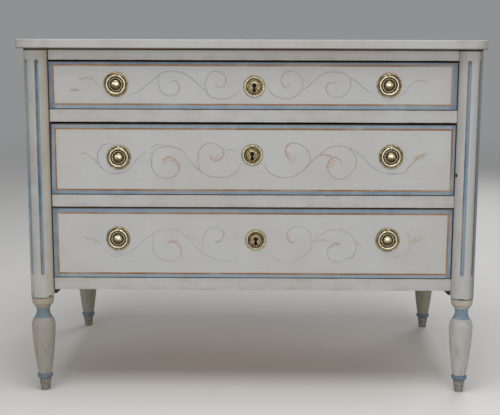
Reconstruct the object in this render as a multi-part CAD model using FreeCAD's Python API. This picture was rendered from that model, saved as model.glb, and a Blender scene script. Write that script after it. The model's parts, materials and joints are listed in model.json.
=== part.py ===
import FreeCAD, Part
import math
import os
from FreeCAD import Vector

# A painted commode with three drawers between round fluted corner columns, on turned feet.
# Millimetres. Someone who faces the front has +X at their right; the front looks along -Y; +Z is up.
# The origin is on the floor, under the middle of the case.

# Heights, from the floor up
foot_height = 243.0            # floor to the underside of a column
column_drop = 17.0             # how far the columns reach below the bottom rail
rail_height = 30.0
top_rail_height = 27.0
deep_opening = 179.0           # the two lower drawers
shallow_opening = 119.0        # the top drawer
top_thickness = 22.0

# Plan of the case
column_spacing = 1046.0        # between the axes of the front columns
foot_spacing = 578.0           # front column axis to rear foot axis
column_radius = 28.0
frame_depth = 45.0             # depth of the front rails, and of the squared back of a column
side_inset = 14.0              # side panel, behind the outermost line of a column
side_thickness = 20.0
rear_post_width = 52.0
rear_post_depth = 54.0

# Joinery of the case
tenon_length = 22.0
tenon_setback = 14.0           # from the face of a rail
tenon_width = 24.0
tenon_shoulder = 7.0           # above and below a tenon
rear_tenon_length = 12.0
tongue_thickness = 10.0        # side panel edges
tongue_length = 8.0
rear_rail_thickness = 24.0
back_thickness = 12.0
back_rebate = 12.0
back_board_count = 4
back_board_gap = 1.5
bottom_board_thickness = 10.0
bottom_board_rise = 6.0        # above the underside of the bottom rail
bottom_board_groove = 6.0
runner_reach = 30.0            # how far a runner reaches in under its drawer
runner_tenon_inset = 9.0
runner_tenon_length = 10.0
guide_height = 16.0
stop_height = 5.5
stop_width = 40.0
stop_depth = 20.0
stop_x = 300.0
corner_block_width = 14.0
corner_block_height = 12.0
corner_block_chamfer = 8.0
corner_block_setback = 5.0

# Flutes of the columns
flute_cutter_radius = 5.0
flute_depth = 3.5
flute_end_above = 59.0         # lower end of the flutes above the underside of a column
flute_end_below = 26.0         # upper end of the flutes below the top board
first_flute_angle = -16.2      # from straight ahead, towards the outside
flute_pitch_angle = 60.0
flute_count = 3
column_end_chamfer = 1.0

# Top board, with a round ear over each front column
ear_radius = 46.4
ear_inset = 3.4                # middle of an ear inside the column axis
top_overhang = 29.0            # straight edges outside the lines through the column axes
back_overhang = 4.0
top_shift = -3.6               # the board lies a little to the left on its case
ear_crease_radius = 4.0
top_corner_radius = 5.0
top_edge_radius = 2.5

# Screws that hold the top board
screw_radius = 2.4
screw_head_radius = 4.6
screw_head_height = 3.0
screw_slot_width = 1.1
screw_slot_depth = 1.2
screw_pocket_radius = 5.6
screw_pocket_depth = 8.0
screw_bite = 14.0              # depth in the top board
screw_x = 330.0
screw_play = 0.15

# Turned feet, radii from the top down
collar_radius = 27.0
collar_low_radius = 25.0
fillet_radius = 20.4
neck_radius = 18.0
cove_low_radius = 20.8
body_radius = 29.3
ankle_radius = 16.3
bead_radius = 19.2
toe_radius = 15.0
toe_tip_radius = 10.5

# Turned feet, heights from the top down; the body takes what is left
collar_chamfer = 1.5
collar_height = 18.5
collar_bulge = 0.8
fillet_height = 6.3
neck_height = 1.5
cove_height = 25.1
cove_sag = 3.0
shoulder_height = 25.9
shoulder_bulge = 2.5
body_bulge = 2.0
bead_height = 13.2
bead_quirk = 1.0               # step between the bead and the body
toe_height = 31.2
dowel_radius = 11.0
dowel_length = 45.0
rear_dowel_length = 20.0       # ends below the tenons of the rear rail
dowel_play = 0.1
rear_foot_shift_left = 12.0    # to the right of the middle of its post
rear_foot_shift_right = 5.0    # the same way

# Drawers
front_thickness = 24.0
drawer_side_thickness = 13.0
drawer_back_thickness = 12.0
drawer_bottom_thickness = 8.0
drawer_back_gap = 24.0         # between a drawer and the rear rails
drawer_side_gap = 1.8          # between a drawer and the column beside it
drawer_run_gap = 0.3           # under the drawer sides, and at the stops
front_lift = 1.0               # under the drawer front
front_edge_radius = 1.2
side_top_gap = 7.0             # above the drawer sides
back_top_drop = 6.0            # drawer back below its sides
bottom_rise = 8.0              # drawer bottom above the lower edge of a side
groove_depth = 5.0
groove_play = 0.2
dovetail_lap = 6.0             # wood left in front of the dovetails
dovetail_slope = 1.0 / 6.0
dovetail_share = 0.5           # of the pitch, at the root of a tail
dovetail_pitch = 38.0

# Each drawer from the top down: gap above its front, keyhole and pulls below the rail above it
front_gap_above = (4.0, 5.5, 3.5)
keyhole_below_rail = (60.0, 76.7, 78.8)
keyhole_x = (3.2, -1.0, 8.4)
pull_left_below_rail = (58.6, 86.2, 79.2)
pull_right_below_rail = (58.8, 82.7, 80.0)
pull_left_x = (-330.8, -327.2, -331.7)
pull_right_x = (328.2, 337.4, 333.8)

# Locks
lock_width = 80.0
lock_thickness = 12.0
lock_wall = 1.5
lock_below_key = 28.0
lock_plate_width = 100.0
lock_plate_thickness = 2.0
selvage_thickness = 3.0
selvage_front_edge = 1.0       # selvage in front of the lock case
bolt_width = 26.0
bolt_thickness = 7.0
bolt_above_key = 14.0
bolt_back_gap = 2.0
bolt_play = 0.3
bolt_throw = 14.0
strike_play = 1.5
strike_end_play = 2.0
key_pin_radius = 2.0
key_pin_setback = 8.0          # tip of the pin behind the drawer face

# Keyholes, measured from the middle of their round part
keyhole_radius = 5.5
keyhole_waist = 1.8            # half widths and radii
keyhole_foot_radius = 4.6
keyhole_foot_drop = 11.8
keyhole_play = 0.5             # the hole in the wood is this much larger all round

# Escutcheons
escutcheon_radius = 26.4
escutcheon_drop = 2.9          # middle of the plate below the round part of the keyhole
escutcheon_edge = 0.9
escutcheon_rim_height = 2.7
escutcheon_rim_inner = 19.4
escutcheon_groove_height = 1.3
escutcheon_ring_outer = 18.2
escutcheon_ring_inner = 13.8
escutcheon_ring_height = 3.3
escutcheon_boss_radius = 13.0
escutcheon_boss_height = 5.0
escutcheon_boss_round = 1.5

# Ring pulls
plate_radius = 29.9
plate_edge = 1.2
plate_rim_inner = 26.5
plate_rim_height = 3.0
plate_thickness = 1.4
plate_collar_outer = 17.2
plate_collar_inner = 13.0
plate_collar_height = 4.4
ring_radius = 21.4             # to the middle of the bar
ring_bar_radius = 2.2
ring_stand_off = 4.4           # middle of the bar in front of the drawer face
ring_pin_radius = 1.5
ring_pin_play = 0.08
ring_eye_radius = 3.3
ring_eye_width = 7.0
ring_eye_gap = 0.7             # on each side of the eye
ring_pin_overlap = 0.8
leaf_radius = 2.6
leaf_length = 6.5
leaf_stand_off = 2.2
boss_radius = 11.8
boss_seat_height = 2.6
boss_foot_radius = 9.6
boss_foot_height = 1.4
boss_height = 10.5
stud_radius = 2.5
stud_play = 0.15
stud_tail = 9.0                # thread behind the drawer front
nut_flats = 10.0
nut_height = 4.0
nut_play = 0.05

# Tolerances for picking an edge by its place
edge_margin = 1.0
edge_match = 0.01

# Places worked out from the sizes
top_depth = ear_radius + foot_spacing + rear_post_depth / 2 + back_overhang
face_y = ear_radius - top_depth / 2        # rail faces, drawer faces and front column axes
frame_back_y = face_y + frame_depth
rear_axis_y = face_y + foot_spacing
rear_post_y = (rear_axis_y - rear_post_depth / 2, rear_axis_y + rear_post_depth / 2)
back_boards_y = (rear_post_y[1] - back_thickness, rear_post_y[1])
rear_rail_y = (back_boards_y[0] - rear_rail_thickness, back_boards_y[0])
front_back_y = face_y + front_thickness    # inner face of the drawer fronts
drawer_end_y = rear_rail_y[0] - drawer_back_gap

axis_x = column_spacing / 2
ear_x = axis_x - ear_inset
opening_x = axis_x - column_radius
side_outer_x = axis_x + column_radius - side_inset
side_inner_x = side_outer_x - side_thickness
rear_axis_x = opening_x + rear_post_width / 2
rear_outer_x = opening_x + rear_post_width
rear_foot_x = {-1: rear_foot_shift_left - rear_axis_x, 1: rear_foot_shift_right + rear_axis_x}
runner_inner_x = opening_x - runner_reach
drawer_x = opening_x - drawer_side_gap
drawer_inner_x = drawer_x - drawer_side_thickness

case_bottom = foot_height + column_drop
rail_z = {}
level = case_bottom
for rail_name, height, opening_above in (
    ("rail_bottom", rail_height, deep_opening),
    ("rail_lower", rail_height, deep_opening),
    ("rail_upper", rail_height, shallow_opening),
    ("rail_top", top_rail_height, 0.0),
):
    rail_z[rail_name] = (level, level + height)
    level += height + opening_above
case_top = level
rail_below = ("rail_upper", "rail_lower", "rail_bottom")
rail_above = ("rail_top", "rail_upper", "rail_lower")
drawer_numbers = (1, 2, 3)

FRONT = Vector(0, -1, 0)
UP = Vector(0, 0, 1)
RIGHT = Vector(1, 0, 0)


def block(x, y, z):
    """A box between three pairs of low and high values."""
    return Part.makeBox(x[1] - x[0], y[1] - y[0], z[1] - z[0], Vector(x[0], y[0], z[0]))


def rod(radius, start, direction, length):
    return Part.makeCylinder(radius, length, start, direction)


def mirrored(shape):
    """The same piece on the other side of the case."""
    return shape.mirror(Vector(0, 0, 0), RIGHT)


def on_side(shape, side):
    return shape if side > 0 else mirrored(shape)


def outline(start, *steps):
    """A closed flat face in XZ. A step is a point, or a (through, end) pair for an arc."""
    def at(point):
        return Vector(point[0], 0, point[1])

    edges = []
    here = start
    for step in steps + (start,):
        if isinstance(step[0], tuple):
            through, end = step
            edges.append(Part.Arc(at(here), at(through), at(end)).toShape())
        else:
            end = step
            edges.append(Part.makeLine(at(here), at(end)))
        here = end
    return Part.Face(Part.Wire(edges))


def turned(face):
    """A face in XZ, turned about the Z axis."""
    return face.revolve(Vector(0, 0, 0), UP, 360)


def facing_front(shape, x, z):
    """A fitting modelled along +Z, laid on the drawer face at x, z."""
    laid = shape.copy()
    laid.rotate(Vector(0, 0, 0), RIGHT, 90)
    laid.translate(Vector(x, face_y, z))
    return laid


def bulged(start, end, bulge):
    """The arc step from start to end that swells outwards by the bulge."""
    length = math.hypot(end[0] - start[0], end[1] - start[1])
    across = ((start[1] - end[1]) / length, (end[0] - start[0]) / length)
    middle = ((start[0] + end[0]) / 2, (start[1] + end[1]) / 2)
    return ((middle[0] + bulge * across[0], middle[1] + bulge * across[1]), end)


def domed(radius, low, high):
    """The arc step from a rim in to the axis, over a round dome."""
    rise = high - low
    sphere = (radius ** 2 + rise ** 2) / (2 * rise)
    half_turn = math.asin(min(1.0, radius / sphere)) / 2
    return ((sphere * math.sin(half_turn), high - sphere * (1 - math.cos(half_turn))), (0.0, high))


def save(name, *solids):
    shape = solids[0] if len(solids) == 1 else Part.makeCompound(list(solids))
    shape.exportStep("parts/" + name + ".step")


# Shapes that one piece holds and another is cut by

def front_tenon(name):
    """The right tenon of a front rail."""
    low, high = rail_z[name]
    y = face_y + tenon_setback
    return block((opening_x, opening_x + tenon_length), (y, y + tenon_width),
                 (low + tenon_shoulder, high - tenon_shoulder))


def rear_tenon(name):
    low, high = rail_z[name]
    return block((opening_x, opening_x + rear_tenon_length), rear_rail_y,
                 (low + tenon_shoulder, high - tenon_shoulder))


def runner_tenon(name):
    low, high = rail_z[name]
    return block((runner_inner_x + runner_tenon_inset, opening_x - runner_tenon_inset),
                 (frame_back_y - runner_tenon_length, frame_back_y),
                 (low + tenon_shoulder, high - tenon_shoulder))


def side_panel_shape():
    """The right side panel, with its tongues."""
    middle = (side_inner_x + side_outer_x) / 2
    z = (case_bottom, case_top)
    panel = block((side_inner_x, side_outer_x), (frame_back_y, rear_post_y[0]), z)
    tongues = block((middle - tongue_thickness / 2, middle + tongue_thickness / 2),
                    (frame_back_y - tongue_length, rear_post_y[0] + tongue_length), z)
    return panel.fuse(tongues).removeSplitter()


def bottom_board_shape():
    z = case_bottom + bottom_board_rise
    x = runner_inner_x + bottom_board_groove
    return block((-x, x), (frame_back_y - bottom_board_groove, rear_rail_y[0] + bottom_board_groove),
                 (z, z + bottom_board_thickness))


def foot_socket(x, y, length):
    """The hole that takes the dowel of a foot."""
    return rod(dowel_radius + dowel_play, Vector(x, y, foot_height), UP, length + dowel_play)


def back_slab():
    x = opening_x + back_rebate
    return block((-x, x), back_boards_y, (case_bottom, case_top))


def front_top(i):
    """Height of the upper edge of a drawer front."""
    return rail_z[rail_above[i]][0] - front_gap_above[i]


def key_z(i):
    return rail_z[rail_above[i]][0] - keyhole_below_rail[i]


def pull_places(i):
    """Middles of the left and the right pull of a drawer, as x and height."""
    high = rail_z[rail_above[i]][0]
    return ((pull_left_x[i], high - pull_left_below_rail[i]),
            (pull_right_x[i], high - pull_right_below_rail[i]))


def keyhole(i, play, depth):
    """A keyhole cut, from in front of the drawer face back to a depth behind it."""
    x, z = keyhole_x[i], key_z(i)
    start_y = face_y - 2 * escutcheon_boss_height
    length = depth + 2 * escutcheon_boss_height
    foot_z = z - keyhole_foot_drop
    waist = keyhole_waist + play
    foot = keyhole_foot_radius + play
    taper = Part.Face(Part.makePolygon([
        Vector(x - waist, start_y, z), Vector(x + waist, start_y, z),
        Vector(x + foot, start_y, foot_z), Vector(x - foot, start_y, foot_z),
        Vector(x - waist, start_y, z)]))
    cut = rod(keyhole_radius + play, Vector(x, start_y, z), -FRONT, length)
    cut = cut.fuse(rod(foot, Vector(x, start_y, foot_z), -FRONT, length))
    return cut.fuse(taper.extrude(Vector(0, length, 0)))


# The case

def flutes(side):
    """Round-ended flutes, as cutters."""
    reach = column_radius + flute_cutter_radius - flute_depth
    low = foot_height + flute_end_above + flute_cutter_radius
    high = case_top - flute_end_below - flute_cutter_radius
    cutters = []
    for number in range(flute_count):
        angle = math.radians(first_flute_angle + number * flute_pitch_angle)
        x = side * (axis_x + reach * math.sin(angle))
        y = face_y - reach * math.cos(angle)
        cutter = rod(flute_cutter_radius, Vector(x, y, low), UP, high - low)
        for z in (low, high):
            cutter = cutter.fuse(Part.makeSphere(flute_cutter_radius, Vector(x, y, z)))
        cutters.append(cutter)
    return cutters


def column(side):
    """A front column: round in front, squared behind where the case joins it."""
    shaft = rod(column_radius, Vector(axis_x, face_y, foot_height), UP, case_top - foot_height)
    lower_rim = [edge for edge in shaft.Edges
                 if edge.BoundBox.ZMax < foot_height + edge_margin and edge.BoundBox.ZLength < edge_margin]
    shaft = shaft.makeChamfer(column_end_chamfer, lower_rim)
    squared = block((opening_x, side_outer_x), (face_y, frame_back_y), (case_bottom, case_top))
    post = shaft.fuse(squared).removeSplitter()
    cuts = [front_tenon(name) for name in rail_z]
    cuts.append(side_panel_shape())
    cuts.append(foot_socket(axis_x, face_y, dowel_length))
    post = on_side(post.cut(cuts), side)
    return post.cut(flutes(side))


def rear_post(side):
    post = block((opening_x, rear_outer_x), rear_post_y, (foot_height, case_top))
    cuts = [rear_tenon("rail_top"), rear_tenon("rail_bottom"), side_panel_shape(), back_slab(),
            foot_socket(abs(rear_foot_x[side]), rear_axis_y, rear_dowel_length)]
    return on_side(post.cut(cuts), side)


def foot(x, y, length):
    """A turned foot with the dowel that holds it."""
    collar_low = foot_height - collar_height
    fillet_low = collar_low - fillet_height
    neck_low = fillet_low - neck_height
    cove_low = neck_low - cove_height
    widest = cove_low - shoulder_height
    bead_top = toe_height + bead_height
    profile = outline(
        (0.0, 0.0),
        (toe_tip_radius, 0.0),
        (toe_radius, toe_height),
        ((bead_radius, toe_height + bead_height / 2), (ankle_radius - bead_quirk, bead_top)),
        (ankle_radius, bead_top),
        bulged((ankle_radius, bead_top), (body_radius, widest), -body_bulge),
        bulged((body_radius, widest), (cove_low_radius, cove_low), -shoulder_bulge),
        bulged((cove_low_radius, cove_low), (neck_radius, neck_low), cove_sag),
        (neck_radius, fillet_low),
        (fillet_radius, fillet_low),
        (fillet_radius, collar_low),
        (collar_low_radius, collar_low),
        bulged((collar_low_radius, collar_low), (collar_radius, foot_height - collar_chamfer),
               -collar_bulge),
        (collar_radius - collar_chamfer, foot_height),
        (dowel_radius, foot_height),
        (dowel_radius, foot_height + length),
        (0.0, foot_height + length),
    )
    shape = turned(profile)
    shape.translate(Vector(x, y, 0))
    return shape


def strike(i):
    """The mortise over a drawer that its lock bolt rises into."""
    z = rail_z[rail_above[i]][0]
    x = keyhole_x[i]
    half = bolt_width / 2 + strike_play
    y = (front_back_y - bolt_back_gap - bolt_thickness - strike_play,
         front_back_y - bolt_back_gap + strike_play)
    return block((x - half, x + half), y, (z, z + bolt_throw - front_gap_above[i] + strike_end_play))


def front_rail(name):
    rail = block((-opening_x, opening_x), (face_y, frame_back_y), rail_z[name])
    tenon = front_tenon(name)
    rail = rail.fuse([tenon, mirrored(tenon)]).removeSplitter()
    socket = runner_tenon(name)
    cuts = [socket, mirrored(socket)]
    cuts += [strike(i) for i in range(len(rail_above)) if rail_above[i] == name]
    if name == "rail_bottom":
        cuts.append(bottom_board_shape())
    if name == "rail_top":
        cuts += [screw_hole(x, y) for x, y in screw_places() if y < frame_back_y]
    return rail.cut(cuts)


def rear_rails():
    rails = []
    for name in ("rail_top", "rail_bottom"):
        tenon = rear_tenon(name)
        rail = block((-opening_x, opening_x), rear_rail_y, rail_z[name])
        rails.append(rail.fuse([tenon, mirrored(tenon)]).removeSplitter())
    rails[0] = rails[0].cut([screw_hole(x, y) for x, y in screw_places() if y > rear_rail_y[0]])
    rails[1] = rails[1].cut(bottom_board_shape())
    return rails


def side_strip(name):
    """A right-hand runner or kicker, level with a front rail and tenoned into it."""
    strip = block((runner_inner_x, side_inner_x), (frame_back_y, rear_post_y[0]), rail_z[name])
    return strip.fuse(runner_tenon(name)).removeSplitter()


def drawer_runners():
    runners = []
    for name in rail_below:
        runner = side_strip(name)
        if name == "rail_bottom":
            runner = runner.cut(bottom_board_shape())
        runners += [mirrored(runner), runner]
    return runners


def kickers():
    """Strips over the top drawer that stop it from tipping."""
    kicker = side_strip("rail_top")
    holes = [screw_hole(x, y) for x, y in screw_places() if x > runner_inner_x]
    kicker = kicker.cut(holes)
    return [mirrored(kicker), kicker]


def drawer_guides():
    guides = []
    for name in rail_below:
        z = rail_z[name][1]
        guide = block((opening_x, side_inner_x), (frame_back_y, rear_post_y[0]), (z, z + guide_height))
        guides += [mirrored(guide), guide]
    return guides


def drawer_stops():
    stops = []
    for name in rail_below:
        z = rail_z[name][1]
        y = front_back_y + drawer_run_gap
        stop = block((stop_x - stop_width / 2, stop_x + stop_width / 2), (y, y + stop_depth),
                     (z, z + stop_height))
        stops += [mirrored(stop), stop]
    return stops


def back_boards():
    slab_x = opening_x + back_rebate
    pitch = (case_top - case_bottom + back_board_gap) / back_board_count
    boards = []
    for number in range(back_board_count):
        z = case_bottom + number * pitch
        boards.append(block((-slab_x, slab_x), back_boards_y, (z, z + pitch - back_board_gap)))
    return boards


def corner_blocks():
    """Glue blocks under the case beside the four posts."""
    low = case_bottom - corner_block_height
    inner = opening_x - corner_block_width
    face = outline((inner, case_bottom), (inner, case_bottom - corner_block_height + corner_block_chamfer),
                   (inner + corner_block_chamfer, low), (opening_x, low), (opening_x, case_bottom))
    blocks = []
    for y in ((face_y + corner_block_setback, frame_back_y), rear_rail_y):
        piece = face.extrude(Vector(0, y[1] - y[0], 0))
        piece.translate(Vector(0, y[0], 0))
        blocks += [mirrored(piece), piece]
    return blocks


def top_board():
    """The top board: straight edges, and a round ear over each front column."""
    x = axis_x + top_overhang
    board = block((-x, x), (face_y - top_overhang, rear_post_y[1] + back_overhang),
                  (case_top, case_top + top_thickness))
    ears = [rod(ear_radius, Vector(side * ear_x, face_y, case_top), UP, top_thickness)
            for side in (-1, 1)]
    board = board.fuse(ears).removeSplitter()
    upright = [edge for edge in board.Edges if edge.BoundBox.ZLength > top_thickness - edge_margin]
    corners = [edge for edge in upright if edge.BoundBox.YMin > rear_axis_y]
    board = board.makeFillet(top_corner_radius, corners)
    creases = [edge for edge in board.Edges if edge.BoundBox.ZLength > top_thickness - edge_margin
               and edge.BoundBox.YMax < rear_axis_y and is_crease(edge)]
    board = board.makeFillet(ear_crease_radius, creases)
    rims = [edge for edge in board.Edges if edge.BoundBox.ZLength < edge_margin]
    board = board.makeFillet(top_edge_radius, rims)
    board.translate(Vector(top_shift, 0, 0))
    return board.cut([screw_hole(px, py) for px, py in screw_places()])


def is_crease(edge):
    """True for an upright edge where a straight edge of the board meets an ear."""
    x, y = edge.Vertexes[0].X, edge.Vertexes[0].Y
    on_front = abs(y - (face_y - top_overhang)) < edge_match
    on_end = abs(abs(x) - (axis_x + top_overhang)) < edge_match
    return on_front or on_end


def screw_places():
    rear_y = (rear_rail_y[0] + rear_rail_y[1]) / 2
    front_y = (face_y + frame_back_y) / 2
    strip_x = (runner_inner_x + side_inner_x) / 2
    strip_y = (frame_back_y + rear_post_y[0]) / 2
    places = []
    for side in (-1, 1):
        places += [(side * screw_x, front_y), (side * screw_x, rear_y), (side * strip_x, strip_y)]
    return places


def screw_hole(x, y):
    """Pocket, hole through the rail, and pilot hole in the top board."""
    low = rail_z["rail_top"][0]
    seat = low + screw_pocket_depth
    pocket = rod(screw_pocket_radius, Vector(x, y, low), UP, screw_pocket_depth)
    hole = rod(screw_radius + screw_play, Vector(x, y, low), UP,
               case_top + screw_bite + screw_play - low)
    sink = Part.makeCone(screw_head_radius, screw_radius, screw_head_height, Vector(x, y, seat), UP)
    return pocket.fuse([sink, hole])


def top_screw(x, y):
    seat = rail_z["rail_top"][0] + screw_pocket_depth
    shank = rod(screw_radius, Vector(x, y, seat), UP, case_top + screw_bite - seat)
    head = Part.makeCone(screw_head_radius, screw_radius, screw_head_height, Vector(x, y, seat), UP)
    slot = block((x - screw_head_radius, x + screw_head_radius),
                 (y - screw_slot_width / 2, y + screw_slot_width / 2), (seat, seat + screw_slot_depth))
    return shank.fuse(head).cut(slot)


# A drawer

def tails(low, high, root_y, tip_y):
    """Dovetails of a right drawer side between two heights, widening from root to tip."""
    count = max(1, round((high - low) / dovetail_pitch))
    pitch = (high - low) / count
    half_root = pitch * dovetail_share / 2
    half_tip = half_root + abs(tip_y - root_y) * dovetail_slope
    shapes = []
    for number in range(count):
        middle = low + (number + 0.5) * pitch
        face = Part.Face(Part.makePolygon([
            Vector(drawer_inner_x, root_y, middle - half_root),
            Vector(drawer_inner_x, tip_y, middle - half_tip),
            Vector(drawer_inner_x, tip_y, middle + half_tip),
            Vector(drawer_inner_x, root_y, middle + half_root),
            Vector(drawer_inner_x, root_y, middle - half_root)]))
        shapes.append(face.extrude(Vector(drawer_side_thickness, 0, 0)))
    return shapes


def lock_mortise(i):
    """Room in the drawer front for the lock case and its selvage."""
    x, high = keyhole_x[i], front_top(i)
    case_front = front_back_y - lock_thickness
    room = block((x - lock_width / 2, x + lock_width / 2), (case_front, front_back_y),
                 (key_z(i) - lock_below_key, high))
    ledge = block((x - lock_plate_width / 2, x + lock_plate_width / 2),
                  (case_front - selvage_front_edge, front_back_y), (high - selvage_thickness, high))
    return room.fuse(ledge)


def lock_case(i):
    """The lock: a box let into the front, its back plate, its selvage and its key pin."""
    x, high = keyhole_x[i], front_top(i)
    low = key_z(i) - lock_below_key
    case_front = front_back_y - lock_thickness
    plate_back = front_back_y + lock_plate_thickness
    half = lock_width / 2
    plate_half = lock_plate_width / 2
    box = block((x - half, x + half), (case_front, front_back_y), (low, high - selvage_thickness))
    room = block((x - half + lock_wall, x + half - lock_wall), (case_front + lock_wall, front_back_y),
                 (low + lock_wall, high - selvage_thickness))
    plate = block((x - plate_half, x + plate_half), (front_back_y, plate_back), (low, high))
    selvage = block((x - plate_half, x + plate_half), (case_front - selvage_front_edge, plate_back),
                    (high - selvage_thickness, high))
    tip_y = face_y + key_pin_setback
    pin = rod(key_pin_radius, Vector(x, tip_y, key_z(i)), -FRONT, plate_back - tip_y)
    shell = box.cut(room).cut(keyhole(i, keyhole_play, front_thickness))
    lock = shell.fuse([plate, selvage, pin]).removeSplitter()
    return lock.cut(bolt_shape(i, bolt_play))


def bolt_shape(i, play):
    """The lock bolt at rest; with play, the slot that it slides in."""
    x, high = keyhole_x[i], front_top(i)
    half = bolt_width / 2 + play
    y = front_back_y - bolt_back_gap
    return block((x - half, x + half), (y - bolt_thickness - play, y + play),
                 (key_z(i) + bolt_above_key, high + play - bolt_play))


def pull_hole(x, z):
    return rod(stud_radius + stud_play, Vector(x, face_y, z), -FRONT, front_thickness)


def drawer_wood(i):
    """Front, left side, right side, back and bottom of a drawer."""
    floor = rail_z[rail_below[i]][1] + drawer_run_gap
    ceiling = rail_z[rail_above[i]][0]
    side_high = ceiling - side_top_gap
    bottom_low = floor + bottom_rise
    bottom_high = bottom_low + drawer_bottom_thickness
    inner_end_y = drawer_end_y - drawer_back_thickness

    front_z = (rail_z[rail_below[i]][1] + front_lift, front_top(i))
    front_tails = tails(floor + front_lift, side_high, front_back_y, face_y + dovetail_lap)
    rear_tails = tails(bottom_high, side_high - back_top_drop, inner_end_y, drawer_end_y)
    groove_x = drawer_inner_x + groove_depth
    groove_y = front_back_y - groove_depth
    groove = block((-groove_x, groove_x), (groove_y, drawer_end_y), (bottom_low, bottom_high + groove_play))

    front = block((-drawer_x, drawer_x), (face_y, front_back_y), front_z)
    face_edges = [edge for edge in front.Edges if edge.BoundBox.YMax < face_y + edge_margin]
    front = front.makeFillet(front_edge_radius, face_edges)
    front = front.cut(front_tails + [mirrored(tail) for tail in front_tails])
    front = front.cut([groove, lock_mortise(i), keyhole(i, keyhole_play, front_thickness)])
    front = front.cut([pull_hole(x, z) for x, z in pull_places(i)])

    back = block((-drawer_x, drawer_x), (inner_end_y, drawer_end_y), (bottom_high, side_high - back_top_drop))
    back = back.cut(rear_tails + [mirrored(tail) for tail in rear_tails])

    side = block((drawer_inner_x, drawer_x), (front_back_y, drawer_end_y), (floor, side_high))
    side = side.fuse(front_tails).removeSplitter().cut([groove, back])

    bottom = block((-groove_x, groove_x), (groove_y, drawer_end_y), (bottom_low, bottom_high))
    return front, mirrored(side), side, back, bottom


def escutcheon(i):
    """A round moulded plate with the keyhole through it."""
    rim_middle = (escutcheon_radius + escutcheon_rim_inner) / 2
    ring_middle = (escutcheon_ring_outer + escutcheon_ring_inner) / 2
    shoulder = escutcheon_boss_radius - escutcheon_boss_round
    top_face = escutcheon_boss_height
    profile = outline(
        (0.0, 0.0),
        (escutcheon_radius, 0.0),
        (escutcheon_radius, escutcheon_edge),
        ((rim_middle, escutcheon_rim_height), (escutcheon_rim_inner, escutcheon_groove_height)),
        (escutcheon_ring_outer, escutcheon_groove_height),
        ((ring_middle, escutcheon_ring_height), (escutcheon_ring_inner, escutcheon_groove_height)),
        (escutcheon_boss_radius, escutcheon_groove_height),
        (escutcheon_boss_radius, top_face - escutcheon_boss_round),
        bulged((escutcheon_boss_radius, top_face - escutcheon_boss_round), (shoulder, top_face),
               -escutcheon_boss_round * (1 - math.sqrt(0.5))),
        (0.0, top_face),
    )
    plate = facing_front(turned(profile), keyhole_x[i], key_z(i) - escutcheon_drop)
    return plate.cut(keyhole(i, 0.0, 1.0))


def pull_plate(x, z):
    """A round back plate with a raised rim and collar, and the eye that the ring hangs in."""
    rim_middle = (plate_radius + plate_rim_inner) / 2
    collar_middle = (plate_collar_outer + plate_collar_inner) / 2
    hole = stud_radius + stud_play
    profile = outline(
        (hole, 0.0),
        (plate_radius, 0.0),
        (plate_radius, plate_edge),
        ((rim_middle, plate_rim_height), (plate_rim_inner, plate_thickness)),
        (plate_collar_outer, plate_thickness),
        ((collar_middle, plate_collar_height), (plate_collar_inner, boss_seat_height)),
        (hole, boss_seat_height),
    )
    eye_start = Vector(-ring_eye_width / 2, ring_radius, ring_stand_off)
    eye = rod(ring_eye_radius, eye_start, RIGHT, ring_eye_width)
    leaf = rod(leaf_radius, Vector(0, ring_radius, leaf_stand_off), Vector(0, 1, 0), leaf_length)
    leaf = leaf.fuse(Part.makeSphere(leaf_radius, Vector(0, ring_radius + leaf_length, leaf_stand_off)))
    leaf = leaf.common(Part.makeCylinder(plate_radius, ring_stand_off + ring_eye_radius))
    bore = rod(ring_pin_radius + ring_pin_play, eye_start - Vector(1, 0, 0), RIGHT, ring_eye_width + 2)
    plate = turned(profile).fuse([eye, leaf]).cut(bore)
    return facing_front(plate, x, z)


def pull_stud(x, z):
    """The domed boss with its thread through the drawer front, and the nut behind."""
    foot_top = boss_seat_height + boss_foot_height
    tail = -front_thickness - stud_tail
    profile = outline(
        (0.0, tail),
        (stud_radius, tail),
        (stud_radius, boss_seat_height),
        (boss_foot_radius, boss_seat_height),
        (boss_foot_radius, foot_top),
        (boss_radius, foot_top),
        domed(boss_radius, foot_top, boss_height),
    )
    stud = facing_front(turned(profile), x, z)
    corner = nut_flats / math.sqrt(3)
    corners = [Vector(corner * math.cos(math.radians(60 * n)), corner * math.sin(math.radians(60 * n)), 0)
               for n in range(7)]
    nut = Part.Face(Part.makePolygon(corners)).extrude(Vector(0, 0, nut_height))
    nut = nut.cut(Part.makeCylinder(stud_radius + nut_play, nut_height))
    nut.translate(Vector(0, 0, -front_thickness - nut_height))
    return [stud, facing_front(nut, x, z)]


def pull_ring(x, z):
    """The ring, with the straight pin at its top that turns in the eye of the plate."""
    ring = Part.makeTorus(ring_radius, ring_bar_radius)
    half_gap = ring_eye_width / 2 + ring_eye_gap
    gap = block((-half_gap, half_gap), (0, ring_radius + 2 * ring_bar_radius),
                (-2 * ring_bar_radius, 2 * ring_bar_radius))
    half_pin = half_gap + ring_pin_overlap
    pin = rod(ring_pin_radius, Vector(-half_pin, ring_radius, 0), RIGHT, 2 * half_pin)
    ring = ring.cut(gap).fuse(pin)
    ring.translate(Vector(0, 0, ring_stand_off))
    return facing_front(ring, x, z)


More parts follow.
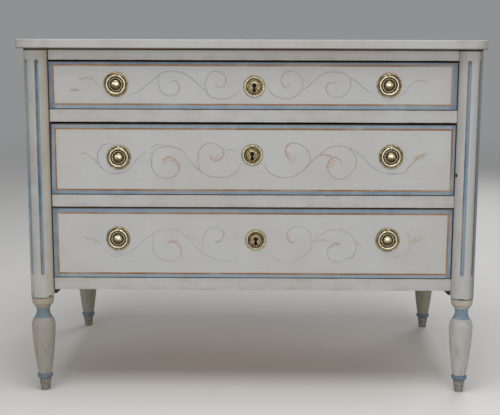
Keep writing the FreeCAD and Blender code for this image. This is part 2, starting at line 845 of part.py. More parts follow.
def build_case():
    save("top_board", top_board())
    save("top_screws", *[top_screw(x, y) for x, y in screw_places()])
    for word, side in (("left", -1), ("right", 1)):
        save("column_front_" + word, column(side))
        save("post_rear_" + word, rear_post(side))
        save("foot_front_" + word, foot(side * axis_x, face_y, dowel_length))
        save("foot_rear_" + word, foot(rear_foot_x[side], rear_axis_y, rear_dowel_length))
        save("side_panel_" + word, on_side(side_panel_shape(), side))
    for name in rail_z:
        save(name, front_rail(name))
    save("rear_rails", *rear_rails())
    save("back_boards", *back_boards())
    save("bottom_board", bottom_board_shape())
    save("drawer_runners", *drawer_runners())
    save("drawer_guides", *drawer_guides())
    save("kickers", *kickers())
    save("drawer_stops", *drawer_stops())
    save("corner_blocks", *corner_blocks())


def build_drawer(i):
    name = "drawer_%d_" % drawer_numbers[i]
    front, left, right, back, bottom = drawer_wood(i)
    save(name + "front", front)
    save(name + "side_left", left)
    save(name + "side_right", right)
    save(name + "back", back)
    save(name + "bottom", bottom)
    save(name + "lock_case", lock_case(i))
    save(name + "lock_bolt", bolt_shape(i, 0.0))
    save(name + "escutcheon", escutcheon(i))
    left_place, right_place = pull_places(i)
    save(name + "pull_plates", pull_plate(*left_place), pull_plate(*right_place))
    save(name + "pull_studs", *pull_stud(*left_place), *pull_stud(*right_place))
    save(name + "ring_left", pull_ring(*left_place))
    save(name + "ring_right", pull_ring(*right_place))


os.makedirs("parts", exist_ok=True)
build_case()
for index in range(len(drawer_numbers)):
    build_drawer(index)
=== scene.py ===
import json
import math
import random

import bmesh
import bpy
from bpy.props import FloatProperty, FloatVectorProperty, IntProperty, PointerProperty
from mathutils import Matrix, Vector, noise


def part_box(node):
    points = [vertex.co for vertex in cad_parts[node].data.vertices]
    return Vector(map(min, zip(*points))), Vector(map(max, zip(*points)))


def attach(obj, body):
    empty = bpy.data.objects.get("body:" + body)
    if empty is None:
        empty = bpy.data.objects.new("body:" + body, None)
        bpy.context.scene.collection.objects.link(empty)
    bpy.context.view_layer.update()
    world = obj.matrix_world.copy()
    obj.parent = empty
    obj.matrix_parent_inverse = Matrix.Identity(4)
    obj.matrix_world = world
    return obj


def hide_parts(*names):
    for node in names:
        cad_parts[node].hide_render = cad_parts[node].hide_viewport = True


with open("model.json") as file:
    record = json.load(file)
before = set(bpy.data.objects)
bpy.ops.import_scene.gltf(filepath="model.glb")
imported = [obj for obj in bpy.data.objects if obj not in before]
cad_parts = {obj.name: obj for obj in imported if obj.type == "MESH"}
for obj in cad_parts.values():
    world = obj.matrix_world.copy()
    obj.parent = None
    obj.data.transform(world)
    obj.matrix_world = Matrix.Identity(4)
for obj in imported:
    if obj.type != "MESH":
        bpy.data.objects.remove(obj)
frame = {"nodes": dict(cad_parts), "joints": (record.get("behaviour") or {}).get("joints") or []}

bl_info = {
    "name": "Painted Commode",
    "version": (1, 0, 0),
    "blender": (4, 5, 0),
    "location": "View3D > Sidebar > Commode",
    "description": "Gives the commode its worn paint, its brass and its bare pine",
    "category": "Object",
}

# Lengths are metres. MM turns a size in millimetres into metres.
MM = 0.001
DRAWERS = (1, 2, 3)
SIDES = ("left", "right")

# Places read from the frame
FACE_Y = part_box("drawer_1_front")[0].y
OPENING_X = -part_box("column_front_left")[1].x
COLUMN_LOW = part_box("column_front_left")[0].z
CASE_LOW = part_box("rail_bottom")[0].z
CASE_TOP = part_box("top_board")[0].z
HINGES = {joint["name"]: Vector(joint["pos_m"]) for joint in frame["joints"] if "pos_m" in joint}

# Middle of each drawer's ochre line, from the left, right, upper and lower edges of its front,
# in millimetres
OCHRE_LINES = {1: (11.3, 13.4, 8.3, 11.4), 2: (12.1, 8.9, 11.0, 11.1), 3: (11.9, 10.9, 12.1, 10.5)}

# How deep the blue is along the left, right, upper and lower edges, and how much is left of the ochre line
BLUE_DEPTHS = {1: (0.75, 0.6, 0.7, 0.2), 2: (0.35, 0.35, 0.3, 0.45), 3: (0.6, 0.5, 0.4, 0.15)}
OCHRE_COVERS = {1: 0.92, 2: 1.0, 3: 1.0}

# The scroll vine of each drawer. A stroke is the width of its brush, then the places it passes through:
# to the right of the middle and above the middle of the drawer face, in millimetres, and a tint where it
# has one. The paint reaches BRUSH_SHARE of the brush's width to each side, and more in a rose stroke.
BRUSH_SHARE, ROSE_SHARE = 0.38, 0.16
ROSE, STRAW, SKY = (1.0, 0.0, 0.0), (0.0, 1.0, 0.0), (0.0, 0.0, 1.0)
VINES = {
    1: (
        (3.4, (-303, -24), (-290, -21), (-275, -14), (-262, -4), (-250, 6), (-240, 14), (-230, 22),
         (-220, 30), (-205, 34), (-190, 34), (-175, 32), (-165, 29), (-155, 23), (-147, 17), (-140, 10),
         (-130, 1), (-122, -6), (-114, -13), (-108, -22), (-95, -29), (-78, -32), (-62, -31), (-48, -25),
         (-38, -16), (-32, -7)),
        (3.2, (-212, 33), (-220, 30), (-226, 21), (-228, 10), (-226, -5), (-222, -14), (-215, -20),
         (-200, -25), (-187, -21), (-181, -16), (-178, -10, ROSE), (-177, -5, ROSE), (-178, 0, ROSE),
         (-183, 8, ROSE), (-190, 12), (-197, 10), (-201, 4)),
        (3.2, (-100, -26), (-108, -20), (-114, -5), (-116, 3), (-114, 10), (-108, 24), (-97, 33),
         (-88, 34), (-76, 30, ROSE), (-68, 25, ROSE), (-65, 18, ROSE), (-65, 10, ROSE), (-67, 4),
         (-72, -2), (-82, -4), (-88, 0), (-89, 4), (-86, 12)),
        (2.6, (-422, 15, STRAW), (-412, 17, STRAW), (-400, 17), (-390, 14)),
        (2.8, (-397, 23), (-385, 15), (-380, 8, STRAW), (-372, 0, STRAW), (-366, -6)),
        (4.2, (-418, 13, STRAW), (-407, 17, ROSE), (-396, 17, STRAW), (-388, 13, STRAW)),
        (3.4, (33, 5), (36, -5), (45, -18), (60, -27), (75, -31), (90, -30), (102, -25), (112, -17),
         (120, -10), (130, -3), (140, 6), (150, 14), (160, 23), (170, 29), (185, 33), (200, 34),
         (215, 31), (228, 24), (240, 16), (250, 10), (262, 0), (275, -10), (290, -19), (300, -23)),
        (3.2, (106, -23), (113, -17), (119, -5), (120, 10), (116, 22), (108, 30), (97, 35), (85, 35),
         (76, 30), (70, 20, ROSE), (69, 10, ROSE), (73, 0, ROSE), (80, -4), (86, 0), (87, 7)),
        (3.2, (217, 30), (225, 27), (234, 15), (235, 0), (230, -13), (220, -22), (207, -27), (192, -25),
         (181, -18), (176, -8, ROSE), (178, 2, ROSE), (186, 8, ROSE), (196, 8), (205, 5)),
        (2.8, (350, -26), (355, -22), (368, -13), (375, -3, SKY), (383, 6, STRAW), (390, 11, STRAW),
         (400, 14), (412, 12), (422, 14)),
    ),
    2: (
        (2.8, (-421, 12, STRAW), (-412, 16, STRAW), (-405, 14, STRAW), (-398, 8, STRAW),
         (-390, 2, STRAW), (-383, -5), (-377, -12)),
        (3.2, (-340, 38, STRAW), (-355, 38), (-368, 32), (-376, 20), (-379, 7), (-377, -7), (-370, -19),
         (-358, -29), (-345, -34), (-330, -35), (-315, -31, SKY), (-303, -23, SKY), (-293, -13, SKY),
         (-285, -3), (-275, 8, STRAW), (-265, 15, STRAW), (-255, 22)),
        (2.2, (-252, 23), (-244, 30), (-236, 35), (-225, 37), (-214, 36)),
        (3.4, (-252, 10), (-247, 16), (-243, 18), (-235, 25), (-222, 31), (-205, 33), (-190, 30),
         (-178, 25), (-170, 21, STRAW), (-165, 13, STRAW), (-160, 5, STRAW), (-150, -7, STRAW),
         (-140, -17), (-130, -26), (-118, -34), (-105, -40), (-90, -43), (-75, -43), (-60, -41),
         (-48, -35), (-40, -28), (-33, -19), (-29, -10)),
        (3.2, (-243, 18), (-246, 5), (-247, -10), (-243, -27), (-233, -39), (-218, -45), (-205, -45),
         (-190, -40), (-182, -30), (-179, -18, ROSE), (-185, -5, ROSE), (-192, 3, ROSE), (-203, 7, ROSE),
         (-213, 4, ROSE), (-219, -3, ROSE), (-216, -12)),
        (3.2, (-124, -32), (-128, -28), (-132, -15), (-133, 0), (-132, 15), (-127, 28), (-117, 37),
         (-105, 41), (-92, 39), (-80, 32), (-74, 28, ROSE), (-70, 18, ROSE), (-74, 8, ROSE),
         (-82, 0, ROSE), (-92, -2, ROSE), (-100, 2, ROSE), (-103, 10), (-100, 15)),
        (1.8, (-68, 11, ROSE), (-78, 5), (-90, 0)),
        (1.8, (-71, 21, ROSE), (-80, 13), (-88, 8)),
        (1.8, (-222, 1, ROSE), (-216, -1, ROSE), (-213, -8, ROSE)),
        (1.8, (-214, 6, ROSE), (-210, 0, ROSE), (-209, -9, ROSE)),
        (1.8, (-205, 8, ROSE), (-202, 2, ROSE), (-203, -6, ROSE)),
        (1.8, (-184, -3, ROSE), (-191, -4, ROSE), (-197, -2, ROSE)),
        (1.8, (-180, -12, ROSE), (-187, -13, ROSE), (-193, -10, ROSE)),
        (1.8, (-104, 1, ROSE), (-99, 6, ROSE), (-97, 13, ROSE)),
        (1.8, (-95, -2, ROSE), (-90, 4, ROSE), (-88, 12, ROSE)),
        (1.8, (84, 10, ROSE), (90, 12, ROSE), (95, 9, ROSE)),
        (1.8, (80, 20, ROSE), (87, 19, ROSE), (93, 15, ROSE)),
        (1.8, (183, -20, ROSE), (190, -17, ROSE), (196, -12, ROSE)),
        (1.8, (184, -9, ROSE), (191, -8, ROSE), (198, -5, ROSE)),
        (1.8, (191, 3, ROSE), (196, -1, ROSE), (202, -1, ROSE)),
        (2.2, (-63, 22, ROSE), (-52, 25), (-44, 20)),
        (3.4, (28, -6), (30, -10), (35, -23), (45, -34), (60, -40), (75, -43), (90, -42), (105, -38),
         (110, -35, STRAW), (120, -28, STRAW), (130, -18), (140, -7), (150, 2), (160, 10), (172, 13),
         (185, 13), (195, 10)),
        (3.4, (148, 0), (156, 8), (165, 15), (175, 24), (187, 31), (200, 34), (213, 35), (228, 32),
         (240, 28, SKY), (252, 22, SKY), (262, 14, SKY), (272, 5, SKY), (283, -8, SKY),
         (295, -18, SKY), (305, -25, SKY), (320, -30, SKY), (340, -33), (355, -32), (370, -30),
         (385, -25)),
        (3.2, (124, -26), (130, -20), (137, -12), (141, 2), (138, 16), (130, 28), (118, 37), (103, 42),
         (90, 40, ROSE), (82, 32, ROSE), (80, 20, ROSE), (84, 10, ROSE), (90, 2, ROSE), (98, 0),
         (102, 7), (100, 15)),
        (3.2, (225, 33), (235, 28), (248, 15, STRAW), (253, 2, STRAW), (252, -12, STRAW),
         (247, -25, STRAW), (237, -35, STRAW), (225, -42, STRAW), (212, -47), (198, -42),
         (188, -32), (183, -20, ROSE), (184, -8, ROSE), (190, 2, ROSE), (200, 7, ROSE), (212, 2, ROSE),
         (220, -7)),
        (2.8, (375, -25, ROSE), (380, -18, ROSE), (388, -10, STRAW), (395, -2, STRAW), (402, 5, ROSE),
         (410, 13), (420, 17), (430, 16)),
        (2.0, (398, 0), (405, 2, STRAW), (412, 7)),
        (5.5, (390, -4, STRAW), (398, 4, STRAW), (408, 8, STRAW), (416, 7, STRAW)),
        (5.5, (394, 6, STRAW), (403, 12, STRAW), (413, 13, STRAW), (421, 11, STRAW)),
        (5.0, (160, 11, STRAW), (172, 14, STRAW), (184, 12, STRAW), (194, 8, STRAW)),
    ),
    3: (
        (2.6, (-424, 18), (-413, 16), (-403, 13), (-392, 10, STRAW), (-385, 5, STRAW), (-376, -2)),
        (2.8, (-365, -17), (-350, -30), (-335, -34), (-322, -32), (-310, -27), (-295, -16), (-285, -7),
         (-270, 5), (-258, 16), (-248, 22), (-235, 30), (-220, 33), (-205, 35), (-190, 34), (-178, 29),
         (-168, 22), (-155, 10), (-145, -2), (-138, -12), (-125, -24), (-110, -32), (-95, -39),
         (-75, -44), (-55, -42), (-42, -36), (-32, -27)),
        (3.2, (-240, 27), (-245, 13), (-246, -2), (-246, -17), (-240, -30), (-228, -39), (-213, -45),
         (-198, -45), (-185, -39), (-178, -29), (-176, -17, ROSE), (-182, -4, ROSE), (-190, 5, ROSE),
         (-200, 7), (-210, 3), (-213, -5)),
        (3.2, (-128, -21), (-124, -12), (-123, -2), (-122, 13), (-118, 26), (-108, 35), (-95, 39),
         (-80, 37), (-72, 30, ROSE), (-70, 24, ROSE), (-72, 18, ROSE), (-78, 10), (-88, 6), (-95, 5)),
        (2.2, (-47, 22), (-41, 25), (-34, 23)),
        (3.2, (42, -24), (50, -32), (60, -39), (75, -43), (90, -44), (105, -42), (120, -35), (132, -26),
         (142, -15), (147, -2), (150, 3), (160, 8), (175, 10, ROSE), (185, 9, ROSE)),
        (3.4, (145, -4), (150, 3), (160, 16), (175, 28), (190, 34), (205, 36), (220, 35), (232, 30),
         (243, 23), (250, 13), (258, 6), (268, -4), (280, -14)),
        (3.2, (144, 3), (146, 13), (145, 23), (138, 33), (130, 38), (115, 43), (100, 41), (90, 33, ROSE),
         (85, 23, ROSE), (87, 13, ROSE), (95, 5), (103, 6)),
        (3.2, (246, 18), (250, 13), (257, -2), (257, -14), (252, -27, ROSE), (248, -32, ROSE),
         (243, -35, ROSE), (232, -37), (215, -45), (200, -44), (190, -37), (186, -25), (188, -12),
         (197, -2), (208, 3), (218, -2), (226, -9)),
        (2.8, (348, -32), (360, -32), (372, -30), (382, -22), (388, -10), (389, 3), (388, 16), (384, 26),
         (375, 33)),
        (2.6, (388, 3), (395, 11, STRAW), (402, 16, STRAW), (410, 20), (420, 20), (428, 18)),
        (2.0, (398, 12), (405, 10), (413, 8)),
        (4.6, (392, 2, STRAW), (402, 9, STRAW), (414, 8, STRAW)),
        (4.2, (397, 12, STRAW), (408, 15, STRAW), (421, 12, STRAW)),
        (4.8, (-414, 12, STRAW), (-402, 12, STRAW), (-390, 8, STRAW), (-379, 0, STRAW)),
        (3.6, (-207, -2, ROSE), (-203, 3, ROSE), (-195, 4, ROSE), (-188, 0, ROSE)),
        (3.4, (-92, 5, ROSE), (-86, 3, ROSE), (-79, 6, ROSE), (-76, 12, ROSE)),
        (3.6, (88, 18, ROSE), (90, 9, ROSE), (97, 3, ROSE), (104, 5, ROSE)),
        (3.6, (192, -10, ROSE), (198, -3, ROSE), (207, 0, ROSE), (216, -4, ROSE)),
    ),
}


def srgb(red, green, blue):
    """The linear colour of a screen colour from 0 to 255."""
    def linear(level):
        share = level / 255
        return share / 12.92 if share <= 0.04045 else ((share + 0.055) / 1.055) ** 2.4
    return linear(red), linear(green), linear(blue)


def length_property(name, description, millimetres):
    return FloatProperty(name=name, description=description, default=millimetres * MM,
                         unit="LENGTH", precision=5)


def colour_property(name, description, red, green, blue):
    return FloatVectorProperty(name=name, description=description, default=srgb(red, green, blue),
                               subtype="COLOR", size=3, min=0.0, max=1.0)


def amount_property(name, description, default):
    return FloatProperty(name=name, description=description, default=default, min=0.0, max=1.0,
                         subtype="FACTOR")


def angle_property(name, description, degrees):
    return FloatProperty(name=name, description=description, default=math.radians(degrees),
                         subtype="ANGLE")


def power_property(name, description, default):
    return FloatProperty(name=name, description=description, default=default, min=0.0)


class PaintSettings(bpy.types.PropertyGroup):
    """Colours and borders of the painted wood."""
    field: colour_property("Field", "Greyish white of the case and the drawers", 194, 194, 193)
    blue: colour_property("Blue", "Borders, flutes and coves", 146, 170, 186)
    # Deep blue is also painted shade, strongest on the left wall of each flute.
    deep_blue: colour_property("Deep blue", "Bottom of a flute, and the corners of a border", 94, 122, 148)
    ochre: colour_property("Ochre", "Line inside the blue border", 142, 92, 30)
    undercoat: colour_property("Undercoat", "Yellowish coat where the white has rubbed thin", 180, 166, 142)
    wood: colour_property("Wood", "Old wood where the paint is gone", 84, 64, 46)
    # Grime is also painted shade on the outer side of the right column.
    grime: colour_property("Grime", "Dirt that has settled at the edges", 122, 114, 100)
    # Joints is also the colour of painted shade and shadow: the seams at the rails' ends, the line under the
    # top board, the flutes' left walls and upper ends, the line at each column's foot and the gaps round the
    # drawers.
    joint: colour_property("Joints", "Dirt in the joints between boards", 34, 26, 20)
    yellowed: colour_property("Yellowed", "Inner side of the left column", 206, 194, 172)
    line_width: length_property("Ochre line", "Width of the ochre line", 4.7)
    waver: length_property("Waver", "How far the hand of the painter strays", 0.9)
    softened_edge: length_property("Softened edges", "Rounding of the edges of the boards", 0.9)


class ColumnSettings(bpy.types.PropertyGroup):
    """Where the flutes of the columns are."""
    reach: length_property("Flute reach", "Axis of a column to the middle of a flute's hollow", 29.5)
    hollow: length_property("Flute hollow", "Radius of a flute's hollow", 5.0)
    first_angle: angle_property("First flute", "From straight ahead, outwards", -16.2)
    pitch_angle: angle_property("Flute pitch", "From one flute to the next", 60)
    flute_rise: length_property("Flute rise", "Foot of a column to the round end of a flute", 64.0)
    flute_drop: length_property("Flute drop", "Top of a column to the round end of a flute", 31.0)


class FootSettings(bpy.types.PropertyGroup):
    """Bands and colours of the turned feet."""
    cove_low: length_property("Cove, lower end", "Height where the blue of the cove ends", 190.8)
    cove_high: length_property("Cove, upper end", "Height where the blue of the cove starts", 218.4)
    bead_low: length_property("Bead, lower end", "Height of the lower side of the bead", 31.2)
    bead_high: length_property("Bead, upper end", "Height of the upper side of the bead", 44.4)
    left: colour_property("Left foot", "Dirty white of the front left foot", 162, 157, 148)
    right: colour_property("Right foot", "White of the front right foot", 186, 186, 183)
    # The rear feet are darker as painted shade under the case.
    rear: colour_property("Rear feet", "Dull olive white of the rear feet", 150, 148, 136)
    collar: colour_property("Collar", "Yellowish white over the cove", 176, 167, 144)
    cove: colour_property("Cove", "Greyed blue", 116, 134, 142)
    right_collar: colour_property("Right collar", "Paler collar of the front right foot", 188, 181, 164)
    right_cove: colour_property("Right cove", "Bluer cove of the front right foot", 124, 146, 164)
    bead: colour_property("Bead", "Deeper blue of the bead", 92, 116, 136)
    toe: colour_property("Toe", "Greenish grey of the worn toe", 136, 136, 124)


class BrassSettings(bpy.types.PropertyGroup):
    """Sizes and colours of the brass fittings."""
    bright: colour_property("Bright brass", "Rubbed high parts", 238, 229, 200)
    dull: colour_property("Dull brass", "Untouched parts", 134, 110, 62)
    # Tarnish also darkens the lower half of each dome as a painted reflection.
    tarnish: colour_property("Tarnish", "Brown in the hollows", 38, 28, 14)
    bead_count: IntProperty(name="Beads", description="Beads round the boss of a pull", default=24,
                            min=3, max=60)
    bead_radius: length_property("Bead radius", "Radius of one bead", 1.75)
    bead_circle: length_property("Bead circle", "Radius of the circle of beads", 15.1)
    rib_count: IntProperty(name="Ribs", description="Slanting ribs on the rim of an escutcheon",
                           default=34, min=3, max=90)
    ring_radius: length_property("Ring", "Middle of the bar of a ring", 21.4)
    bar_radius: length_property("Ring bar", "Radius of the bar of a ring", 2.2)
    stand_off: length_property("Ring stand-off", "Middle of the bar in front of the drawer", 4.4)
    keyhole_rise: length_property("Keyhole rise", "Round part of the keyhole over the plate's middle", 2.9)
    keyhole_radius: length_property("Keyhole", "Radius of its round part", 5.5)
    keyhole_drop: length_property("Keyhole drop", "Round part to the foot of the keyhole", 11.8)
    keyhole_foot: length_property("Keyhole foot", "Radius of its foot", 4.6)


class VineSettings(bpy.types.PropertyGroup):
    """The scroll vine in low relief on the drawers."""
    stem: colour_property("Stem", "Middle of a stroke", 164, 166, 165)
    # Shade and warm shade are painted shade on the sides of the raised strokes.
    shade: colour_property("Shade", "Both sides of a stroke", 142, 145, 146)
    warm_stem: colour_property("Warm stem", "Middle of a stroke on the lowest drawer", 186, 178, 166)
    warm_shade: colour_property("Warm shade", "Both sides of a stroke on the lowest drawer", 158, 152, 142)
    rose: colour_property("Rose", "Faded red of the hearts", 194, 138, 118)
    straw: colour_property("Straw", "Faded ochre of the tufts", 190, 160, 122)
    sky: colour_property("Sky", "Faded blue", 158, 172, 186)
    rise: amount_property("Rise", "Height of a stroke as a share of its half width", 0.33)
    upper_drawer: amount_property("Upper drawer", "How much of its vine is left", 0.75)
    middle_drawer: amount_property("Middle drawer", "How much of its vine is left", 0.9)
    lower_drawer: amount_property("Lower drawer", "How much of its vine is left", 0.7)


class StageSettings(bpy.types.PropertyGroup):
    """Floor, light and camera."""
    floor: colour_property("Floor", "Pale floor", 234, 233, 230)
    backdrop: colour_property("Backdrop", "Colour that the floor fades into far away", 144, 145, 146)
    fade_start: length_property("Fade start", "Distance where the floor starts to fade", 2200.0)
    fade_end: length_property("Fade end", "Distance where only the backdrop is left", 8000.0)
    key_power: power_property("Key light", "Large soft light in front", 32.5)
    fill_power: power_property("Fill light", "Weak soft light, right", 3.0)
    window_power: power_property("Window light", "Wide light, left, that the brass mirrors", 24.0)
    rear_power: power_property("Rear light", "Soft light behind", 26.0)
    floor_power: power_property("Floor light", "Soft light from above", 60.0)
    sky: power_property("Surroundings", "Strength of the even light all round", 0.24)
    camera_x: length_property("Camera X", "Camera to the right of the middle", 7.5)
    camera_distance: length_property("Camera distance", "Camera to the faces of the drawers", 2430.3)
    camera_rise: length_property("Camera rise", "Camera above the underside of the top board", 20.9)
    focal_length: FloatProperty(name="Focal length", description="Millimetres on a 36 mm wide sensor",
                                default=72.14, min=1.0)
    pitch: angle_property("Pitch", "Camera looks down", 9.49)
    yaw: angle_property("Yaw", "Camera turned to its left", 0.32)
    roll: angle_property("Roll", "Camera rolled", 0.18)


# Node trees

class Graph:
    """Adds nodes to a tree and links them."""

    def __init__(self, tree):
        self.tree = tree

    def node(self, kind, *inputs, **settings):
        made = self.tree.nodes.new(kind)
        for name, value in settings.items():
            setattr(made, name, value)
        for socket, value in zip(made.inputs, inputs):
            self.feed(socket, value)
        return made

    def feed(self, socket, value):
        if value is None:
            return
        if isinstance(value, bpy.types.NodeSocket):
            self.tree.links.new(value, socket)
        elif socket.type == "RGBA" and len(value) == 3:
            socket.default_value = (*value, 1.0)
        else:
            socket.default_value = value

    def math(self, operation, *values):
        return self.node("ShaderNodeMath", *values, operation=operation).outputs[0]

    def plus(self, first, second):
        return self.math("ADD", first, second)

    def minus(self, first, second):
        return self.math("SUBTRACT", first, second)

    def times(self, first, second):
        return self.math("MULTIPLY", first, second)

    def least(self, first, second):
        return self.math("MINIMUM", first, second)

    def most(self, first, second):
        return self.math("MAXIMUM", first, second)

    def vector(self, operation, *values):
        made = self.node("ShaderNodeVectorMath", *values, operation=operation)
        return made.outputs["Value" if operation in ("LENGTH", "DISTANCE") else "Vector"]

    def parts(self, vector):
        return self.node("ShaderNodeSeparateXYZ", vector).outputs

    def noise(self, place, size, detail=3.0, roughness=0.55):
        """A cloudy value round 0.5 whose clouds have the given size in metres."""
        return self.node("ShaderNodeTexNoise", place, None, 1.0 / size, detail, roughness).outputs[0]

    def wander(self, place, size, reach):
        """A cloudy value that strays to both sides of 0, by half the reach at most."""
        return self.times(self.minus(self.noise(place, size), 0.5), reach)

    def step(self, value, low, high):
        """Smoothly 0 to 1 as the value goes from low to high."""
        return self.node("ShaderNodeMapRange", value, low, high, 0.0, 1.0,
                         interpolation_type="SMOOTHSTEP").outputs[0]

    def between(self, factor, low, high):
        """Low to high as the factor goes from 0 to 1."""
        return self.node("ShaderNodeMapRange", factor, 0.0, 1.0, low, high).outputs[0]

    def mix(self, factor, first, second, blend="MIX"):
        made = self.tree.nodes.new("ShaderNodeMix")
        made.data_type = "RGBA"
        made.blend_type = blend
        for index, value in ((0, factor), (6, first), (7, second)):
            self.feed(made.inputs[index], value)
        return made.outputs[2]

    def blot(self, place, x, z, half_width, half_height):
        """1 in an oval seen from the front, fading out to its rim."""
        offset = self.vector("SUBTRACT", place, (x, 0.0, z))
        share = self.vector("MULTIPLY", offset, (1 / half_width, 0.0, 1 / half_height))
        return self.step(self.vector("LENGTH", share), 1.0, 0.35)

    def shaded(self, colour, factor):
        """The colour made lighter or darker by a factor."""
        return self.vector("SCALE", colour, None, None, factor)

    def group(self, tree, **inputs):
        """A shared group, with its inputs given by name."""
        made = self.tree.nodes.new("ShaderNodeGroup")
        made.node_tree = tree
        for name, value in inputs.items():
            self.feed(made.inputs[name.replace("_", " ")], value)
        return made.outputs

    def place(self):
        return self.node("ShaderNodeTexCoord").outputs["Object"]

    def attribute(self, name, output="Vector"):
        return self.node("ShaderNodeAttribute", attribute_name=name).outputs[output]


def new_group(name, inputs, outputs):
    """A shader group with its own named sockets: its graph, what comes in and what goes out."""
    tree = bpy.data.node_groups.new(name, "ShaderNodeTree")
    for direction, sockets in (("INPUT", inputs), ("OUTPUT", outputs)):
        for socket_name, kind in sockets:
            tree.interface.new_socket(socket_name, in_out=direction, socket_type="NodeSocket" + kind)
    graph = Graph(tree)
    return graph, graph.node("NodeGroupInput").outputs, graph.node("NodeGroupOutput").inputs


def inside_box_group(name):
    """A group that starts from how far a place is inside a box along X, Y and Z."""
    graph, given, result = new_group(name, [("Place", "Vector"), ("Low", "Vector"), ("High", "Vector")],
                                     [("Distance", "Float")])
    from_low = graph.vector("SUBTRACT", given["Place"], given["Low"])
    from_high = graph.vector("SUBTRACT", given["High"], given["Place"])
    return graph, graph.parts(graph.vector("MINIMUM", from_low, from_high)), result["Distance"]


def nearest_edge_group():
    """Distance from a point of a board to the board's nearest edge."""
    graph, (x, y, z), distance = inside_box_group("Nearest edge")
    nearer, farther = graph.least(x, y), graph.most(x, y)
    graph.feed(distance, graph.most(nearer, graph.least(farther, z)))
    return graph.tree


def border_group():
    """How far a point of a drawer's face is inside the nearest side of a rectangle, seen from the front."""
    graph, (x, _, z), distance = inside_box_group("Border")
    graph.feed(distance, graph.least(x, z))
    return graph.tree


def brushed_line_group():
    """Mask of a line laid by hand between two distances, with a wavering edge and a thin film."""
    graph, given, result = new_group(
        "Brushed line",
        [("Place", "Vector"), ("Distance", "Float"), ("From", "Float"), ("To", "Float"),
         ("Waver", "Float"), ("Softness", "Float"), ("Cover", "Float")],
        [("Mask", "Float")])
    slow = graph.noise(given["Place"], 0.07, 2.0)
    quick = graph.noise(given["Place"], 0.009, 2.0)
    sway = graph.minus(graph.math("MULTIPLY_ADD", quick, 0.4, graph.times(slow, 1.6)), 1.0)
    distance = graph.math("MULTIPLY_ADD", sway, given["Waver"], given["Distance"])
    start = graph.minus(distance, given["From"])
    end = graph.minus(given["To"], distance)
    inside = graph.math("DIVIDE", graph.least(start, end), given["Softness"])
    mask = graph.step(inside, -0.5, 0.5)
    film = graph.step(graph.noise(given["Place"], 0.03, 4.0, 0.65), 0.15, 0.62)
    cover = graph.times(given["Cover"], graph.between(film, 0.74, 1.0))
    graph.feed(result["Mask"], graph.times(mask, cover))
    return graph.tree


def aged_paint_group():
    """Old hand-brushed paint: drift, brush marks, specks, worn edges and grime."""
    graph, given, result = new_group(
        "Aged paint",
        [("Place", "Vector"), ("Brush", "Vector"), ("Paint", "Color"), ("Undercoat", "Color"),
         ("Wood", "Color"), ("Dirt", "Color"), ("Edge", "Float"), ("Wear", "Float"), ("Grime", "Float")],
        [("Color", "Color"), ("Roughness", "Float"), ("Height", "Float")])
    place = given["Place"]
    along = graph.vector("MULTIPLY", place, given["Brush"])
    drift = graph.noise(place, 0.26, 2.0)
    cloud = graph.noise(place, 0.045, 4.0, 0.6)
    stroke = graph.noise(along, 0.0062, 4.0, 0.6)
    hair = graph.noise(along, 0.0019, 2.0, 0.6)
    speck = graph.noise(place, 0.0042, 3.0, 0.6)

    warm = graph.mix(0.16, given["Paint"], given["Undercoat"])
    colour = graph.mix(graph.step(drift, 0.42, 0.68), given["Paint"], warm)
    level = graph.plus(graph.between(cloud, 0.93, 1.07), graph.between(stroke, -0.045, 0.045))
    level = graph.minus(level, graph.times(graph.step(hair, 0.60, 0.76), 0.06))
    colour = graph.shaded(colour, level)

    near = graph.times(graph.step(given["Edge"], 0.030, 0.0), given["Grime"])
    dirty = graph.times(near, graph.step(cloud, 0.30, 0.75))
    colour = graph.mix(dirty, colour, given["Dirt"])

    rubbed = graph.math("MULTIPLY_ADD", graph.minus(speck, 0.5), 0.006, given["Edge"])
    patch = graph.step(graph.noise(place, 0.05, 3.0), 0.40, 0.62)
    reach = graph.times(given["Wear"], 0.0036)
    thin = graph.times(graph.step(rubbed, reach, graph.times(reach, 0.3)), patch)
    bare = graph.times(graph.step(rubbed, graph.times(reach, 0.45), 0.0), patch)
    cluster = graph.step(graph.noise(place, 0.08, 3.0), 0.47, 0.72)
    lowered = graph.times(graph.times(cluster, given["Wear"]), 0.11)
    threshold = graph.minus(0.80, lowered)
    chip = graph.step(graph.minus(speck, threshold), 0.0, 0.02)
    bare = graph.most(bare, chip)
    colour = graph.mix(graph.times(thin, 0.75), colour, given["Undercoat"])
    colour = graph.mix(graph.times(bare, 0.85), colour, given["Wood"])

    rough = graph.plus(graph.between(cloud, 0.50, 0.66), graph.times(bare, 0.2))
    relief = graph.plus(graph.times(stroke, 0.10), graph.times(hair, 0.03))
    relief = graph.minus(relief, graph.times(bare, 0.12))
    graph.feed(result["Color"], colour)
    graph.feed(result["Roughness"], rough)
    graph.feed(result["Height"], relief)
    return graph.tree


